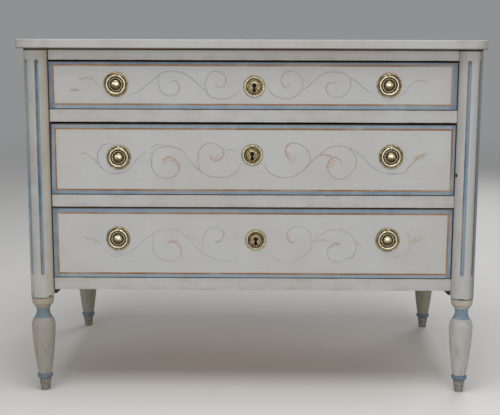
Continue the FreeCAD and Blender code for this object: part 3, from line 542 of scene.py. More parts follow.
def pine_group():
    """Old unpainted pine: growth rings, fibres, a few knots and the dirt of years."""
    graph, given, result = new_group(
        "Pine grain",
        [("Place", "Vector"), ("Grain", "Vector"), ("Light", "Color"), ("Dark", "Color")],
        [("Color", "Color"), ("Roughness", "Float"), ("Height", "Float")])
    place = given["Place"]
    along = graph.vector("MULTIPLY", place, given["Grain"])
    sway = graph.noise(along, 0.07, 2.0, 0.5)
    rings = graph.math("SINE", graph.times(sway, 95.0))
    fibre = graph.noise(along, 0.0022, 3.0, 0.7)
    stain = graph.noise(place, 0.16, 4.0, 0.6)
    stretch = graph.vector("MULTIPLY_ADD", given["Grain"], (0.6, 0.6, 0.6), (0.4, 0.4, 0.4))
    knot_place = graph.vector("MULTIPLY", place, stretch)
    knot = graph.node("ShaderNodeTexVoronoi", knot_place, None, 5.5).outputs["Distance"]
    knot_mask = graph.step(knot, 0.085, 0.03)
    colour = graph.mix(graph.between(rings, 0.18, 0.62), given["Light"], given["Dark"])
    level = graph.plus(graph.between(fibre, 0.84, 1.14), graph.between(stain, -0.22, 0.12))
    colour = graph.shaded(colour, level)
    colour = graph.mix(graph.times(knot_mask, 0.8), colour, graph.shaded(given["Dark"], 0.35))
    graph.feed(result["Color"], colour)
    graph.feed(result["Roughness"], graph.between(fibre, 0.62, 0.84))
    graph.feed(result["Height"], graph.math("MULTIPLY_ADD", fibre, 0.16, graph.times(rings, 0.03)))
    return graph.tree


def brass_group():
    """Aged brass: rubbed on the high parts, brown in the hollows and on the painted reflection of a dome's
    lower half, a little uneven all over.
    """
    graph, given, result = new_group(
        "Aged brass",
        [("Place", "Vector"), ("Hollow", "Float"), ("Bright", "Color"), ("Dull", "Color"),
         ("Tarnish", "Color")],
        [("Color", "Color"), ("Roughness", "Float"), ("Metallic", "Float"), ("Height", "Float")])
    place = given["Place"]
    cloud = graph.noise(place, 0.007, 3.0, 0.6)
    fine = graph.noise(place, 0.0012, 3.0, 0.6)
    drift = graph.minus(cloud, 0.5)
    rubbed = graph.step(graph.math("MULTIPLY_ADD", drift, 0.7, given["Hollow"]), 0.55, 0.05)
    dark = graph.step(graph.math("MULTIPLY_ADD", drift, 0.5, given["Hollow"]), 0.45, 0.95)
    colour = graph.mix(rubbed, given["Dull"], given["Bright"])
    colour = graph.mix(dark, colour, given["Tarnish"])
    graph.feed(result["Color"], colour)
    rough = graph.plus(graph.between(rubbed, 0.42, 0.24), graph.times(dark, 0.35))
    graph.feed(result["Roughness"], rough)
    graph.feed(result["Metallic"], graph.between(dark, 1.0, 0.35))
    graph.feed(result["Height"], graph.math("MULTIPLY_ADD", fine, 0.05, graph.times(cloud, 0.12)))
    return graph.tree


class Workshop:
    """The shared groups and the finished materials, each made once."""

    def __init__(self):
        self.groups = {}
        self.materials = {}

    def group(self, builder):
        if builder.__name__ not in self.groups:
            self.groups[builder.__name__] = builder()
        return self.groups[builder.__name__]

    def material(self, builder, *choices):
        key = (builder.__name__,) + choices
        if key not in self.materials:
            self.materials[key] = builder(*choices)
        return self.materials[key]


workshop = Workshop()


def paint_settings():
    return bpy.context.scene.commode_paint


def new_material(name):
    material = bpy.data.materials.new(name)
    material.use_nodes = True
    material.node_tree.nodes.clear()
    return material, Graph(material.node_tree)


def close_material(graph, colour, roughness, height, relief=1.0, metallic=0.0):
    """Shader and output; the height is in millimetres."""
    shader = graph.node("ShaderNodeBsdfPrincipled")
    bump = graph.node("ShaderNodeBump", relief, MM)
    graph.feed(bump.inputs["Height"], height)
    graph.feed(shader.inputs["Base Color"], colour)
    graph.feed(shader.inputs["Roughness"], roughness)
    graph.feed(shader.inputs["Metallic"], metallic)
    graph.feed(shader.inputs["Normal"], bump.outputs[0])
    graph.node("ShaderNodeOutputMaterial", shader.outputs[0])


def paint_over(graph, place, colour, brush, wear, grime):
    """Aged paint of one colour on a piece that knows its own corners."""
    paint = paint_settings()
    edge = graph.group(workshop.group(nearest_edge_group), Place=place, Low=graph.attribute("low_corner"),
                       High=graph.attribute("high_corner"))["Distance"]
    return graph.group(workshop.group(aged_paint_group), Place=place, Brush=brush, Paint=colour,
                       Undercoat=tuple(paint.undercoat), Wood=tuple(paint.wood), Dirt=tuple(paint.grime),
                       Edge=edge, Wear=wear, Grime=grime)


ALONG_X = (0.05, 1.0, 1.0)
ALONG_Y = (1.0, 0.05, 1.0)
ALONG_Z = (1.0, 1.0, 0.05)
GRAINS = {"x": ALONG_X, "y": ALONG_Y, "z": ALONG_Z}


def plain_paint(grain, wear):
    """Greyish white paint of a plain board."""
    material, graph = new_material("painted_" + grain)
    place = graph.place()
    aged = paint_over(graph, place, tuple(paint_settings().field), GRAINS[grain], wear, 0.34)
    close_material(graph, aged["Color"], aged["Roughness"], aged["Height"])
    return material


def rail_paint(node):
    """A front rail with dirt and painted shade in the seams at its ends and, on the top rail, a painted
    shadow line with dirt under the top board.
    """
    paint = paint_settings()
    material, graph = new_material("painted_" + node)
    place = graph.place()
    x, _, z = graph.parts(place)
    # Dark seams at the rail's ends, partly dirt and partly painted shade, wider and darker at the left
    # column.
    left_seam_dirt_and_shade = graph.times(graph.step(x, 0.0036 - OPENING_X, 0.0020 - OPENING_X), 0.95)
    right_seam_dirt_and_shade = graph.times(graph.step(x, OPENING_X - 0.0016, OPENING_X - 0.0006), 0.6)
    dirt = graph.most(left_seam_dirt_and_shade, right_seam_dirt_and_shade)
    # Painted shadow line, with dirt, just under the top board.
    if node == "rail_top":
        dirt = graph.most(dirt, graph.step(z, CASE_TOP - 0.0044, CASE_TOP - 0.0030))
    aged = paint_over(graph, place, tuple(paint.field), ALONG_X, 0.38, 0.30)
    colour = graph.mix(dirt, aged["Color"], tuple(paint.joint))
    close_material(graph, colour, aged["Roughness"], aged["Height"])
    return material


def top_paint():
    """The paint of the top board: brownish patches along its front edge, painted shade at the ears where
    they round away and staining elsewhere, and a painted shadow line with dirt under its lower edge.
    """
    paint = paint_settings()
    material, graph = new_material("painted_top")
    place = graph.place()
    x, y, z = graph.parts(place)
    front = graph.step(y, FACE_Y - 0.020, FACE_Y - 0.028)
    low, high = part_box("top_board")
    ear_shade_and_stains = 0.0
    # Brownish patches along the front edge: at the ears they are painted shade where the ears round away, in
    # the middle they are staining.
    for centre, spread, strength in ((low.x + 0.082, 0.016, 0.75), (low.x + 0.02, 0.02, 0.2),
                                     (high.x - 0.02, 0.035, 0.75), (0.16, 0.05, 0.4), (-0.33, 0.03, 0.35)):
        away = graph.math("ABSOLUTE", graph.minus(x, centre))
        spot = graph.times(graph.step(away, spread, 0.0), strength)
        ear_shade_and_stains = graph.most(ear_shade_and_stains, spot)
    cloud = graph.step(graph.noise(place, 0.02, 4.0, 0.65), 0.32, 0.66)
    shaded_and_stained = graph.times(graph.times(ear_shade_and_stains, front), cloud)
    colour = graph.mix(graph.times(shaded_and_stained, 0.6), tuple(paint.field), tuple(paint.undercoat))
    aged = paint_over(graph, place, colour, ALONG_X, 0.9, 0.4)
    # Painted shadow line, with dirt, along the rounded lower edge.
    shadow_and_dirt_under_edge = graph.times(graph.step(z, low.z + 0.0030, low.z + 0.0012), 0.9)
    colour = graph.mix(shadow_and_dirt_under_edge, aged["Color"], tuple(paint.joint))
    close_material(graph, colour, aged["Roughness"], aged["Height"])
    return material


# Marks on the columns: x, height over the column's foot, half width and half height, in metres
COLUMN_MARKS = {"left": ((-0.5405, 0.0105, 0.0011, 0.0115), (-0.5010, 0.0040, 0.0060, 0.0020)),
                "right": ((0.4965, 0.3080, 0.0026, 0.0070), (0.5160, 0.0020, 0.0120, 0.0016))}


def column_paint(side):
    """White column with blue flutes, deeper blue in their hollows, painted shade on their left walls and a
    painted shadow at their upper ends.
    """
    paint = paint_settings()
    column = bpy.context.scene.commode_column
    material, graph = new_material("painted_column_" + side)
    place = graph.place()
    x, y, z = graph.parts(place)
    foot_low, foot_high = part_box("foot_front_" + side)
    axis = (foot_low + foot_high) / 2
    outwards = 1 if side == "right" else -1
    flute_top = CASE_TOP - column.flute_drop
    straight = graph.most(COLUMN_LOW + column.flute_rise, graph.least(z, flute_top))
    past_end = graph.minus(z, straight)
    nearby = graph.node("ShaderNodeCombineXYZ", x, y, past_end).outputs[0]
    nearest, shaded = 1.0, 0.0
    for number in range(3):
        angle = column.first_angle + number * column.pitch_angle
        centre_x = axis.x + outwards * column.reach * math.sin(angle)
        centre_y = axis.y - column.reach * math.cos(angle)
        away = graph.vector("DISTANCE", nearby, (centre_x, centre_y, 0.0))
        nearest = graph.least(nearest, away)
        # Painted shade: the left wall of each flute gets deeper blue and a cloudy darkening.
        left_wall = graph.step(graph.minus(x, centre_x), 0.0022, -0.0022)
        here = graph.math("LESS_THAN", away, column.hollow + 0.001)
        shaded = graph.most(shaded, graph.times(left_wall, here))
    wavering = graph.plus(nearest, graph.wander(place, 0.012, 0.0008))
    in_flute = graph.step(wavering, column.hollow + 0.0004, column.hollow + 0.0001)
    flat = graph.node("ShaderNodeCombineXYZ", x, y, 0.0).outputs[0]
    from_axis = graph.vector("DISTANCE", flat, (axis.x, axis.y, 0.0))
    depth = graph.times(graph.step(from_axis, 0.0284, 0.0250), graph.between(shaded, 0.4, 1.0))
    blue = graph.mix(depth, tuple(paint.blue), tuple(paint.deep_blue))
    # Painted shade on the flutes' left walls and a painted shadow at their upper ends, in the joints colour.
    painted_flute_shade = graph.times(shaded, graph.step(graph.noise(place, 0.03, 4.0), 0.25, 0.7))
    shadowed_flute_top = graph.step(z, flute_top - 0.012, flute_top + 0.004)
    painted_flute_shade = graph.most(graph.times(painted_flute_shade, 0.66), graph.times(shadowed_flute_top, 0.62))
    blue = graph.mix(painted_flute_shade, blue, tuple(paint.joint))
    rub = graph.step(graph.noise(graph.vector("MULTIPLY", place, ALONG_Z), 0.01, 4.0, 0.65), 0.25, 0.6)
    dirt = graph.step(graph.noise(place, 0.09, 4.0), 0.2, 0.7)
    dirt = graph.times(dirt, 0.42 if side == "left" else 0.12)
    field = graph.mix(dirt, tuple(paint.field), tuple(paint.grime))
    colour = graph.mix(graph.times(in_flute, graph.between(rub, 0.7, 1.0)), field, blue)
    streak = graph.noise(graph.vector("MULTIPLY", place, (1.0, 1.0, 0.03)), 0.006, 3.0, 0.6)
    warm_streaks = graph.times(graph.step(streak, 0.5, 0.68), 0.35)
    blue_streaks = graph.times(graph.step(streak, 0.46, 0.32), 0.25)
    colour = graph.mix(warm_streaks, colour, tuple(paint.undercoat))
    colour = graph.mix(blue_streaks, colour, tuple(paint.blue))
    from_middle = graph.minus(x, axis.x)
    if side == "left":
        inner = graph.times(graph.step(from_middle, 0.008, 0.026), 0.55)
        colour = graph.mix(inner, colour, tuple(paint.yellowed))
    else:
        # Painted shade: the outer side of the right column is darker, in the grime colour.
        outer = graph.times(graph.step(from_middle, 0.008, 0.024), 0.6)
        colour = graph.mix(outer, colour, tuple(paint.grime))
    # Painted shadow lines, with dirt, in the gap at the column's foot and under the top board.
    dirt_and_shade_at_foot = graph.times(graph.step(z, COLUMN_LOW + 0.0022, COLUMN_LOW + 0.0008), 0.7)
    dirt_and_shadow_under_top = graph.times(graph.step(z, CASE_TOP - 0.0056, CASE_TOP - 0.0032), 0.97)
    marks = graph.most(dirt_and_shade_at_foot, dirt_and_shadow_under_top)
    for mark_x, mark_rise, half_width, half_height in COLUMN_MARKS[side]:
        spot = graph.blot(place, mark_x, COLUMN_LOW + mark_rise, half_width, half_height)
        marks = graph.most(marks, spot)
    aged = paint_over(graph, place, colour, ALONG_Z, 0.6, 0.2)
    colour = graph.mix(marks, aged["Color"], tuple(paint.joint))
    close_material(graph, colour, aged["Roughness"], aged["Height"])
    return material


def foot_paint(tone):
    """Turned feet with a greyed blue cove, a deeper blue bead and a worn toe."""
    paint = paint_settings()
    foot = bpy.context.scene.commode_foot
    material, graph = new_material("painted_foot_" + tone)
    place = graph.place()
    height = graph.parts(place)[2]
    level = graph.plus(height, graph.wander(place, 0.014, 0.004))
    collar, cove = (foot.right_collar, foot.right_cove) if tone == "right" else (foot.collar, foot.cove)
    soft = 0.6 * MM

    def band(low, high):
        over = graph.step(level, low - soft, low + soft)
        return graph.times(over, graph.step(level, high + soft, high - soft))

    upright = graph.vector("MULTIPLY", place, (1.0, 1.0, 0.10))
    film = graph.between(graph.step(graph.noise(upright, 0.007, 4.0, 0.7), 0.22, 0.55), 0.6, 1.0)
    over_cove = graph.step(height, foot.cove_high, foot.cove_high + 0.006)
    colour = graph.mix(over_cove, tuple(getattr(foot, tone)), tuple(collar))
    streaks = graph.step(graph.noise(upright, 0.006, 4.0, 0.7), 0.48, 0.70)
    colour = graph.mix(graph.times(streaks, 0.55), colour, tuple(paint.grime))
    bands = ((foot.cove_low, foot.cove_high, cove), (foot.bead_low, foot.bead_high, foot.bead))
    for low, high, tint in bands:
        colour = graph.mix(graph.times(band(low, high), film), colour, tuple(tint))
    toe = graph.times(graph.step(level, foot.bead_low, foot.bead_low - 0.001), 0.85)
    colour = graph.mix(toe, colour, tuple(foot.toe))
    # Dark lines where the foot meets the column, painted shade in that gap, and at two grooves of the
    # turning.
    for joint in (COLUMN_LOW, foot.cove_high + 0.0065, foot.bead_low):
        line = graph.step(graph.math("ABSOLUTE", graph.minus(height, joint)), 0.0016, 0.0006)
        colour = graph.mix(graph.times(line, 0.7), colour, tuple(paint.joint))
    aged = paint_over(graph, place, colour, ALONG_Z, 1.2, 0.0)
    scuff = graph.step(graph.noise(place, 0.005, 4.0, 0.7), 0.50, 0.60)
    scuff = graph.times(scuff, graph.step(height, 0.055, 0.015))
    colour = graph.mix(graph.times(scuff, 0.8), aged["Color"], tuple(paint.joint))
    close_material(graph, colour, aged["Roughness"], aged["Height"])
    return material


def drawer_paint(number):
    """The painted face of a drawer: field, blue border, ochre line, and painted shadow in the gaps round it.
    """
    paint = paint_settings()
    material, graph = new_material("painted_drawer_%d" % number)
    place = graph.place()
    low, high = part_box("drawer_%d_front" % number)
    left, right, above, below = [inset * MM for inset in OCHRE_LINES[number]]
    inside = graph.group(workshop.group(border_group), Place=place, Low=(low.x + left, 0.0, low.z + below),
                         High=(high.x - right, 0.0, high.z - above))["Distance"]
    line = workshop.group(brushed_line_group)
    half_line = paint.line_width / 2
    band = graph.group(line, Place=place, Distance=inside, From=-1.0, To=-half_line, Waver=paint.waver,
                       Softness=0.0010, Cover=1.0)["Mask"]
    ochre = graph.group(line, Place=place, Distance=inside, From=-half_line, To=half_line, Waver=paint.waver,
                        Softness=0.0012, Cover=1.0)["Mask"]
    cover = graph.between(graph.step(graph.noise(place, 0.11, 3.0), 0.32, 0.55), OCHRE_COVERS[number] * 0.7,
                          OCHRE_COVERS[number])
    ochre = graph.times(ochre, cover)
    field = tuple(paint.field)
    if number == 1:
        smudge = graph.blot(place, -0.4305, (low.z + high.z) / 2 - 0.0115, 0.017, 0.005)
        field = graph.mix(graph.times(smudge, 0.5), field, tuple(paint.grime))
    colour = graph.mix(ochre, field, tuple(paint.ochre))
    x, _, z = graph.parts(place)
    cloud = graph.step(graph.noise(place, 0.05, 3.0), 0.35, 0.75)
    shade = graph.times(cloud, 0.25)
    from_edges = (graph.minus(x, low.x), graph.minus(high.x, x),
                  graph.minus(high.z, z), graph.minus(z, low.z))
    for away, inset, depth in zip(from_edges, (left, right, above, below), BLUE_DEPTHS[number]):
        beside = graph.times(graph.step(away, inset * 1.6, inset), depth)
        shade = graph.plus(shade, beside)
    blue = graph.mix(graph.least(shade, 1.0), tuple(paint.blue), tuple(paint.deep_blue))
    colour = graph.mix(band, colour, blue)
    # Painted shadow in the gaps along the edges of the front; on the middle drawer it widens into a wedge at
    # the left towards the top.
    rim = graph.least(graph.least(*from_edges[:2]), graph.least(*from_edges[2:]))
    if number == 2:
        shadow_wedge = graph.math("MULTIPLY_ADD", graph.minus(z, (low.z + high.z) / 2), 0.024, 0.0014)
        rim = graph.least(rim, graph.minus(from_edges[0], shadow_wedge))
    aged = paint_over(graph, place, colour, ALONG_X, 0.4, 0.1)
    gap = graph.times(graph.step(rim, 0.0020, 0.0008), 0.85)
    colour = graph.mix(gap, aged["Color"], tuple(paint.joint))
    close_material(graph, colour, aged["Roughness"], aged["Height"])
    return material


def vine_paint(number):
    """Thin grey strokes with a pale middle and darker sides as painted shade, and faded rose, straw and blue
    in places.
    """
    vine = bpy.context.scene.commode_vine
    material, graph = new_material("painted_vine_%d" % number)
    place = graph.place()
    rose, straw, sky = graph.parts(graph.attribute("tint"))
    # Painted shade: both sides of a raised stroke are greyer than its middle.
    side = graph.step(graph.math("ABSOLUTE", graph.attribute("across", "Fac")), 0.30, 0.85)
    stem, shade = (vine.warm_stem, vine.warm_shade) if number == 3 else (vine.stem, vine.shade)
    colour = graph.mix(side, tuple(stem), tuple(shade))
    for share, tone in ((rose, vine.rose), (straw, vine.straw), (sky, vine.sky)):
        colour = graph.mix(graph.times(share, 0.85), colour, tuple(tone))
    left_over = (vine.upper_drawer, vine.middle_drawer, vine.lower_drawer)[DRAWERS.index(number)]
    worn = graph.step(graph.noise(place, 0.018, 4.0, 0.65), 0.3, 0.6)
    rubbed = graph.between(worn, 0.55 * left_over, left_over)
    colour = graph.mix(rubbed, tuple(paint_settings().field), colour)
    close_material(graph, colour, graph.between(rubbed, 0.55, 0.62), graph.noise(place, 0.002, 3.0), 0.2)
    return material


# Light and dark of the pine: clean inside the drawers, darkened on the blocks under the case, and chipped
PINE_TONES = {"clean": ((176, 146, 108), (130, 98, 66)), "smoked": ((66, 56, 46), (34, 28, 23)),
              "chipped": ((96, 78, 58), (52, 40, 30))}


def pine(name, grain, tone):
    """A material of the pine in one of its tones."""
    material, graph = new_material(name)
    light, dark = PINE_TONES[tone]
    wood = graph.group(workshop.group(pine_group), Place=graph.place(), Grain=grain,
                       Light=srgb(*light), Dark=srgb(*dark))
    close_material(graph, wood["Color"], wood["Roughness"], wood["Height"])
    return material


def bare_pine(grain, tone="clean"):
    """Unpainted wood that runs along x, y or z."""
    return pine("%s_pine_%s" % (tone, grain), GRAINS[grain], tone)


def chipped_wood():
    """Raw dark wood inside a chip."""
    return pine("chipped_wood", ALONG_X, "chipped")


def aged_brass():
    brass = bpy.context.scene.commode_brass
    material, graph = new_material("aged_brass")
    # Hollow holds tarnish in the hollows and, on the domes, a painted reflection of the floor.
    hollow = graph.attribute("hollow", "Fac")
    metal = graph.group(workshop.group(brass_group), Place=graph.place(), Hollow=hollow,
                        Bright=tuple(brass.bright), Dull=tuple(brass.dull), Tarnish=tuple(brass.tarnish))
    close_material(graph, metal["Color"], metal["Roughness"], metal["Height"], 0.7, metal["Metallic"])
    return material


def forged_iron():
    material, graph = new_material("forged_iron")
    place = graph.place()
    cloud = graph.noise(place, 0.012, 4.0, 0.6)
    fine = graph.noise(place, 0.0016, 3.0, 0.6)
    rust = graph.step(graph.noise(place, 0.006, 5.0, 0.7), 0.52, 0.66)
    colour = graph.mix(cloud, srgb(52, 48, 46), srgb(96, 90, 84))
    colour = graph.mix(graph.times(rust, 0.7), colour, srgb(98, 62, 40))
    roughness = graph.math("MULTIPLY_ADD", rust, 0.3, graph.between(cloud, 0.42, 0.6))
    height = graph.math("MULTIPLY_ADD", fine, 0.08, graph.times(cloud, 0.2))
    close_material(graph, colour, roughness, height, 1.0, graph.between(rust, 0.9, 0.2))
    return material


# Mesh helpers

# Edges sharper than this are rounded on wood and iron, and stay sharp on brass
SHARP_ANGLE = math.radians(35)


def add_object(name, mesh):
    piece = bpy.data.objects.new(name, mesh)
    bpy.context.collection.objects.link(piece)
    return piece


def plain_mesh(piece):
    """A new mesh, as the piece is with its modifiers."""
    bpy.context.view_layer.update()
    depsgraph = bpy.context.evaluated_depsgraph_get()
    return bpy.data.meshes.new_from_object(piece.evaluated_get(depsgraph), preserve_all_data_layers=True,
                                           depsgraph=depsgraph)


def applied(piece):
    """The piece with its modifiers turned into plain mesh."""
    mesh = plain_mesh(piece)
    piece.modifiers.clear()
    old = piece.data
    piece.data = mesh
    mesh.name = piece.name
    bpy.data.meshes.remove(old)
    return piece


def mark_corners(mesh, low, high):
    """Stores the corners of a board on its mesh, for materials that work from its edges."""
    for name, corner in (("low_corner", low), ("high_corner", high)):
        layer = mesh.attributes.new(name, "FLOAT_VECTOR", "POINT")
        layer.data.foreach_set("vector", list(corner) * len(mesh.vertices))


def dents(name, places, material, seed):
    """Small uneven lumps, as a cutter. A place is a centre with three half widths, in metres."""
    generator = random.Random(seed)
    bm = bmesh.new()
    for centre, half in places:
        made = bmesh.ops.create_icosphere(bm, subdivisions=3, radius=1.0)
        for vertex in made["verts"]:
            jag = 1 + 0.35 * noise.noise(vertex.co * 1.7 + Vector((generator.random(), 0, seed)))
            vertex.co = Vector(centre) + Vector([vertex.co[i] * half[i] * jag for i in range(3)])
    mesh = bpy.data.meshes.new(name)
    bm.to_mesh(mesh)
    bm.free()
    mesh.materials.append(material)
    return add_object(name, mesh)


def worn_board(node, softened, face_material, chips=()):
    """A copy of a wooden piece with softened edges, and its faces painted or bare by direction."""
    source = frame["nodes"][node]
    bm = bmesh.new()
    bm.from_mesh(source.data)
    bmesh.ops.remove_doubles(bm, verts=bm.verts, dist=1e-6)
    bmesh.ops.dissolve_limit(bm, angle_limit=math.radians(0.3), verts=bm.verts, edges=bm.edges)
    bmesh.ops.recalc_face_normals(bm, faces=bm.faces)
    mesh = bpy.data.meshes.new(node + "_worn")
    bm.to_mesh(mesh)
    bm.free()
    piece = add_object(node + "_worn", mesh)
    bevel = piece.modifiers.new("softened", "BEVEL")
    bevel.width = softened
    bevel.segments = 3
    bevel.limit_method = "ANGLE"
    bevel.angle_limit = SHARP_ANGLE
    cutter = None
    raw_wood = workshop.material(chipped_wood) if chips else None
    if chips:
        cutter = dents(node + "_chips", chips, raw_wood, len(node))
        cut = piece.modifiers.new("chipped", "BOOLEAN")
        cut.operation = "DIFFERENCE"
        cut.object = cutter
        cut.solver = "EXACT"
        cut.material_mode = "TRANSFER"
    applied(piece)
    if cutter:
        bpy.data.objects.remove(cutter)
    mesh = piece.data
    chipped = [polygon.index for polygon in mesh.polygons
               if raw_wood and mesh.materials[polygon.material_index] == raw_wood]
    mesh.materials.clear()
    slots = {}
    for polygon in mesh.polygons:
        material = face_material(polygon.center, polygon.normal)
        slots.setdefault(material.name, (len(slots), material))
        polygon.material_index = slots[material.name][0]
    for _, material in sorted(slots.values(), key=lambda pair: pair[0]):
        mesh.materials.append(material)
    if chipped:
        mesh.materials.append(raw_wood)
        for index in chipped:
            mesh.polygons[index].material_index = len(slots)
    mesh.shade_smooth()
    mark_corners(mesh, *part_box(node))
    weights = piece.modifiers.new("flat faces", "WEIGHTED_NORMAL")
    weights.keep_sharp = False
    return applied(piece)


def put(piece, body, slot, *nodes):
    """Hands the finished piece to its body, in place of the nodes it stands for."""
    if nodes:
        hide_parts(*nodes)
    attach(piece, body)


def lathe(bm, profile, segments, matrix, closed=False):
    """Turns (radius, height, hollow) points about Z. An open profile starts and ends on the axis."""
    layer = bm.verts.layers.float.get("hollow") or bm.verts.layers.float.new("hollow")
    rings = []
    for radius, height, hollow in profile:
        count = 1 if radius < 1e-7 else segments
        ring = []
        for index in range(count):
            angle = 2 * math.pi * index / segments
            place = Vector((radius * math.cos(angle), radius * math.sin(angle), height))
            vertex = bm.verts.new(matrix @ place)
            vertex[layer] = hollow
            ring.append(vertex)
        rings.append(ring)
    pairs = list(zip(rings, rings[1:] + rings[:1])) if closed else list(zip(rings, rings[1:]))
    for inner, outer in pairs:
        for index in range(segments):
            after = (index + 1) % segments
            corners = [inner[index % len(inner)], inner[after % len(inner)],
                       outer[after % len(outer)], outer[index % len(outer)]]
            unique = list(dict.fromkeys(corners))
            if len(unique) > 2:
                bm.faces.new(unique)


def swell(start, end, rise, count, hollow=0.0):
    """Points of an arc from start to end, both included, that swells by rise to the left of its way."""
    chord = math.hypot(end[0] - start[0], end[1] - start[1])
    across = (-(end[1] - start[1]) / chord, (end[0] - start[0]) / chord)
    points = []
    for index in range(count + 1):
        share = index / count
        bulge = rise * (1 - (2 * share - 1) ** 2)
        points.append((start[0] + (end[0] - start[0]) * share + across[0] * bulge,
                       start[1] + (end[1] - start[1]) * share + across[1] * bulge, hollow))
    return points


def metres(profile):
    return [(radius * MM, height * MM, hollow) for radius, height, hollow in profile]


def on_drawer(x, z):
    """Turns a fitting modelled along +Z so that it stands on the drawer face at x, z."""
    return Matrix.Translation((x, FACE_Y, z)) @ Matrix.Rotation(math.radians(90), 4, "X")


def solid_piece(name, bm, material):
    """A finished object from a mesh under construction."""
    bmesh.ops.remove_doubles(bm, verts=bm.verts, dist=1e-7)
    bmesh.ops.recalc_face_normals(bm, faces=bm.faces)
    mesh = bpy.data.meshes.new(name)
    bm.to_mesh(mesh)
    bm.free()
    mesh.materials.append(material)
    mesh.shade_smooth()
    mesh.set_sharp_from_angle(angle=SHARP_ANGLE)
    return add_object(name, mesh)


def joined(first, *others):
    """One object from several, each already in place."""
    pieces = [first, *others]
    with bpy.context.temp_override(active_object=first, selected_objects=pieces,
                                   selected_editable_objects=pieces):
        bpy.ops.object.join()
    return first


def smooth_way(places, steps):
    """A smooth run of points through the places."""
    ends = [places[0]] + places + [places[-1]]
    way = []
    for before, here, there, after in zip(ends, ends[1:], ends[2:], ends[3:]):
        for step in range(steps):
            share = step / steps
            bend = 2 * before - 5 * here + 4 * there - after
            twist = 3 * here - before - 3 * there + after
            way.append((2 * here + (there - before) * share + bend * share ** 2 + twist * share ** 3) / 2)
    return way + [places[-1]]


# Geometry Nodes

def new_nodes_tree(name, inputs):
    """A Geometry Nodes tree with named inputs: its graph, what comes in and where the mesh goes out."""
    tree = bpy.data.node_groups.new(name, "GeometryNodeTree")
    tree.is_modifier = True
    tree.interface.new_socket("Geometry", in_out="INPUT", socket_type="NodeSocketGeometry")
    for socket_name, kind in inputs:
        tree.interface.new_socket(socket_name, in_out="INPUT", socket_type="NodeSocket" + kind)
    tree.interface.new_socket("Geometry", in_out="OUTPUT", socket_type="NodeSocketGeometry")
    graph = Graph(tree)
    return graph, graph.node("NodeGroupInput").outputs, graph.node("NodeGroupOutput").inputs[0]


def close_tree(graph, geometry, material, result):
    """Ends a tree with smooth plain mesh in the material."""
    whole = graph.node("GeometryNodeRealizeInstances", geometry)
    smooth = graph.node("GeometryNodeSetShadeSmooth", whole.outputs[0])
    painted = graph.node("GeometryNodeSetMaterial", smooth.outputs[0])
    graph.feed(painted.inputs["Material"], material)
    graph.feed(result, painted.outputs[0])
    return graph.tree


def circle_of_tree():
    """Round beads, or long slanting ribs, set in a circle."""
    graph, given, result = new_nodes_tree(
        "Circle of beads",
        [("Count", "Int"), ("Circle radius", "Float"), ("Half length", "Float"), ("Half width", "Float"),
         ("Half height", "Float"), ("Slant", "Float"), ("Lift", "Float"), ("Material", "Material")])
    circle = graph.node("GeometryNodeMeshCircle", given["Count"], given["Circle radius"])
    bead = graph.node("GeometryNodeMeshUVSphere", 12, 8, 1.0)
    index = graph.node("GeometryNodeInputIndex").outputs[0]
    turn = graph.math("DIVIDE", graph.times(index, 2 * math.pi), given["Count"])
    euler = graph.node("ShaderNodeCombineXYZ", 0.0, 0.0, graph.plus(turn, given["Slant"]))
    rotation = graph.node("FunctionNodeEulerToRotation", euler.outputs[0])
    size = graph.node("ShaderNodeCombineXYZ", given["Half length"], given["Half width"],
                      given["Half height"])
    beads = graph.node("GeometryNodeInstanceOnPoints", circle.outputs[0], None, bead.outputs[0], None, None,
                       rotation.outputs[0], size.outputs[0])
    lift = graph.node("ShaderNodeCombineXYZ", 0.0, 0.0, given["Lift"])
    moved = graph.node("GeometryNodeSetPosition", beads.outputs[0])
    graph.feed(moved.inputs["Offset"], lift.outputs[0])
    return close_tree(graph, moved.outputs[0], given["Material"], result)


def stroke_tree():
    """Raised, round-backed strokes along chains of points that know their breadth."""
    graph, given, result = new_nodes_tree("Raised strokes", [("Rise", "Float"), ("Material", "Material")])
    chains = graph.node("GeometryNodeMeshToCurve", given["Geometry"])
    upright = graph.node("GeometryNodeSetCurveNormal", chains.outputs[0])
    upright.mode = "Z_UP"
    rim = graph.node("GeometryNodeCurvePrimitiveCircle", 12)
    graph.feed(rim.inputs["Radius"], 1.0)
    marked = graph.node("GeometryNodeStoreNamedAttribute", rim.outputs[0], data_type="FLOAT", domain="POINT")
    graph.feed(marked.inputs["Name"], "across")
    graph.feed(marked.inputs["Value"], graph.parts(graph.node("GeometryNodeInputPosition").outputs[0])[0])
    low = graph.node("GeometryNodeTransform", marked.outputs[0])
    graph.feed(low.inputs["Scale"], graph.node("ShaderNodeCombineXYZ", 1.0, given["Rise"], 1.0).outputs[0])
    ribbon = graph.node("GeometryNodeCurveToMesh", upright.outputs[0], low.outputs[0])
    breadth = graph.node("GeometryNodeInputNamedAttribute", "breadth", data_type="FLOAT")
    graph.feed(ribbon.inputs["Scale"], breadth.outputs[0])
    graph.feed(ribbon.inputs["Fill Caps"], True)
    return close_tree(graph, ribbon.outputs[0], given["Material"], result)


def grown(piece, tree, **inputs):
    """Runs a Geometry Nodes tree on a piece and keeps the plain mesh that it makes."""
    modifier = piece.modifiers.new(tree.name, "NODES")
    modifier.node_group = tree
    for item in tree.interface.items_tree:
        key = item.name.replace(" ", "_")
        if item.in_out == "INPUT" and key in inputs:
            modifier[item.identifier] = inputs[key]
    mesh = plain_mesh(piece)
    name = piece.name
    bpy.data.objects.remove(piece)
    mesh.name = name
    return add_object(name, mesh)


# Stage

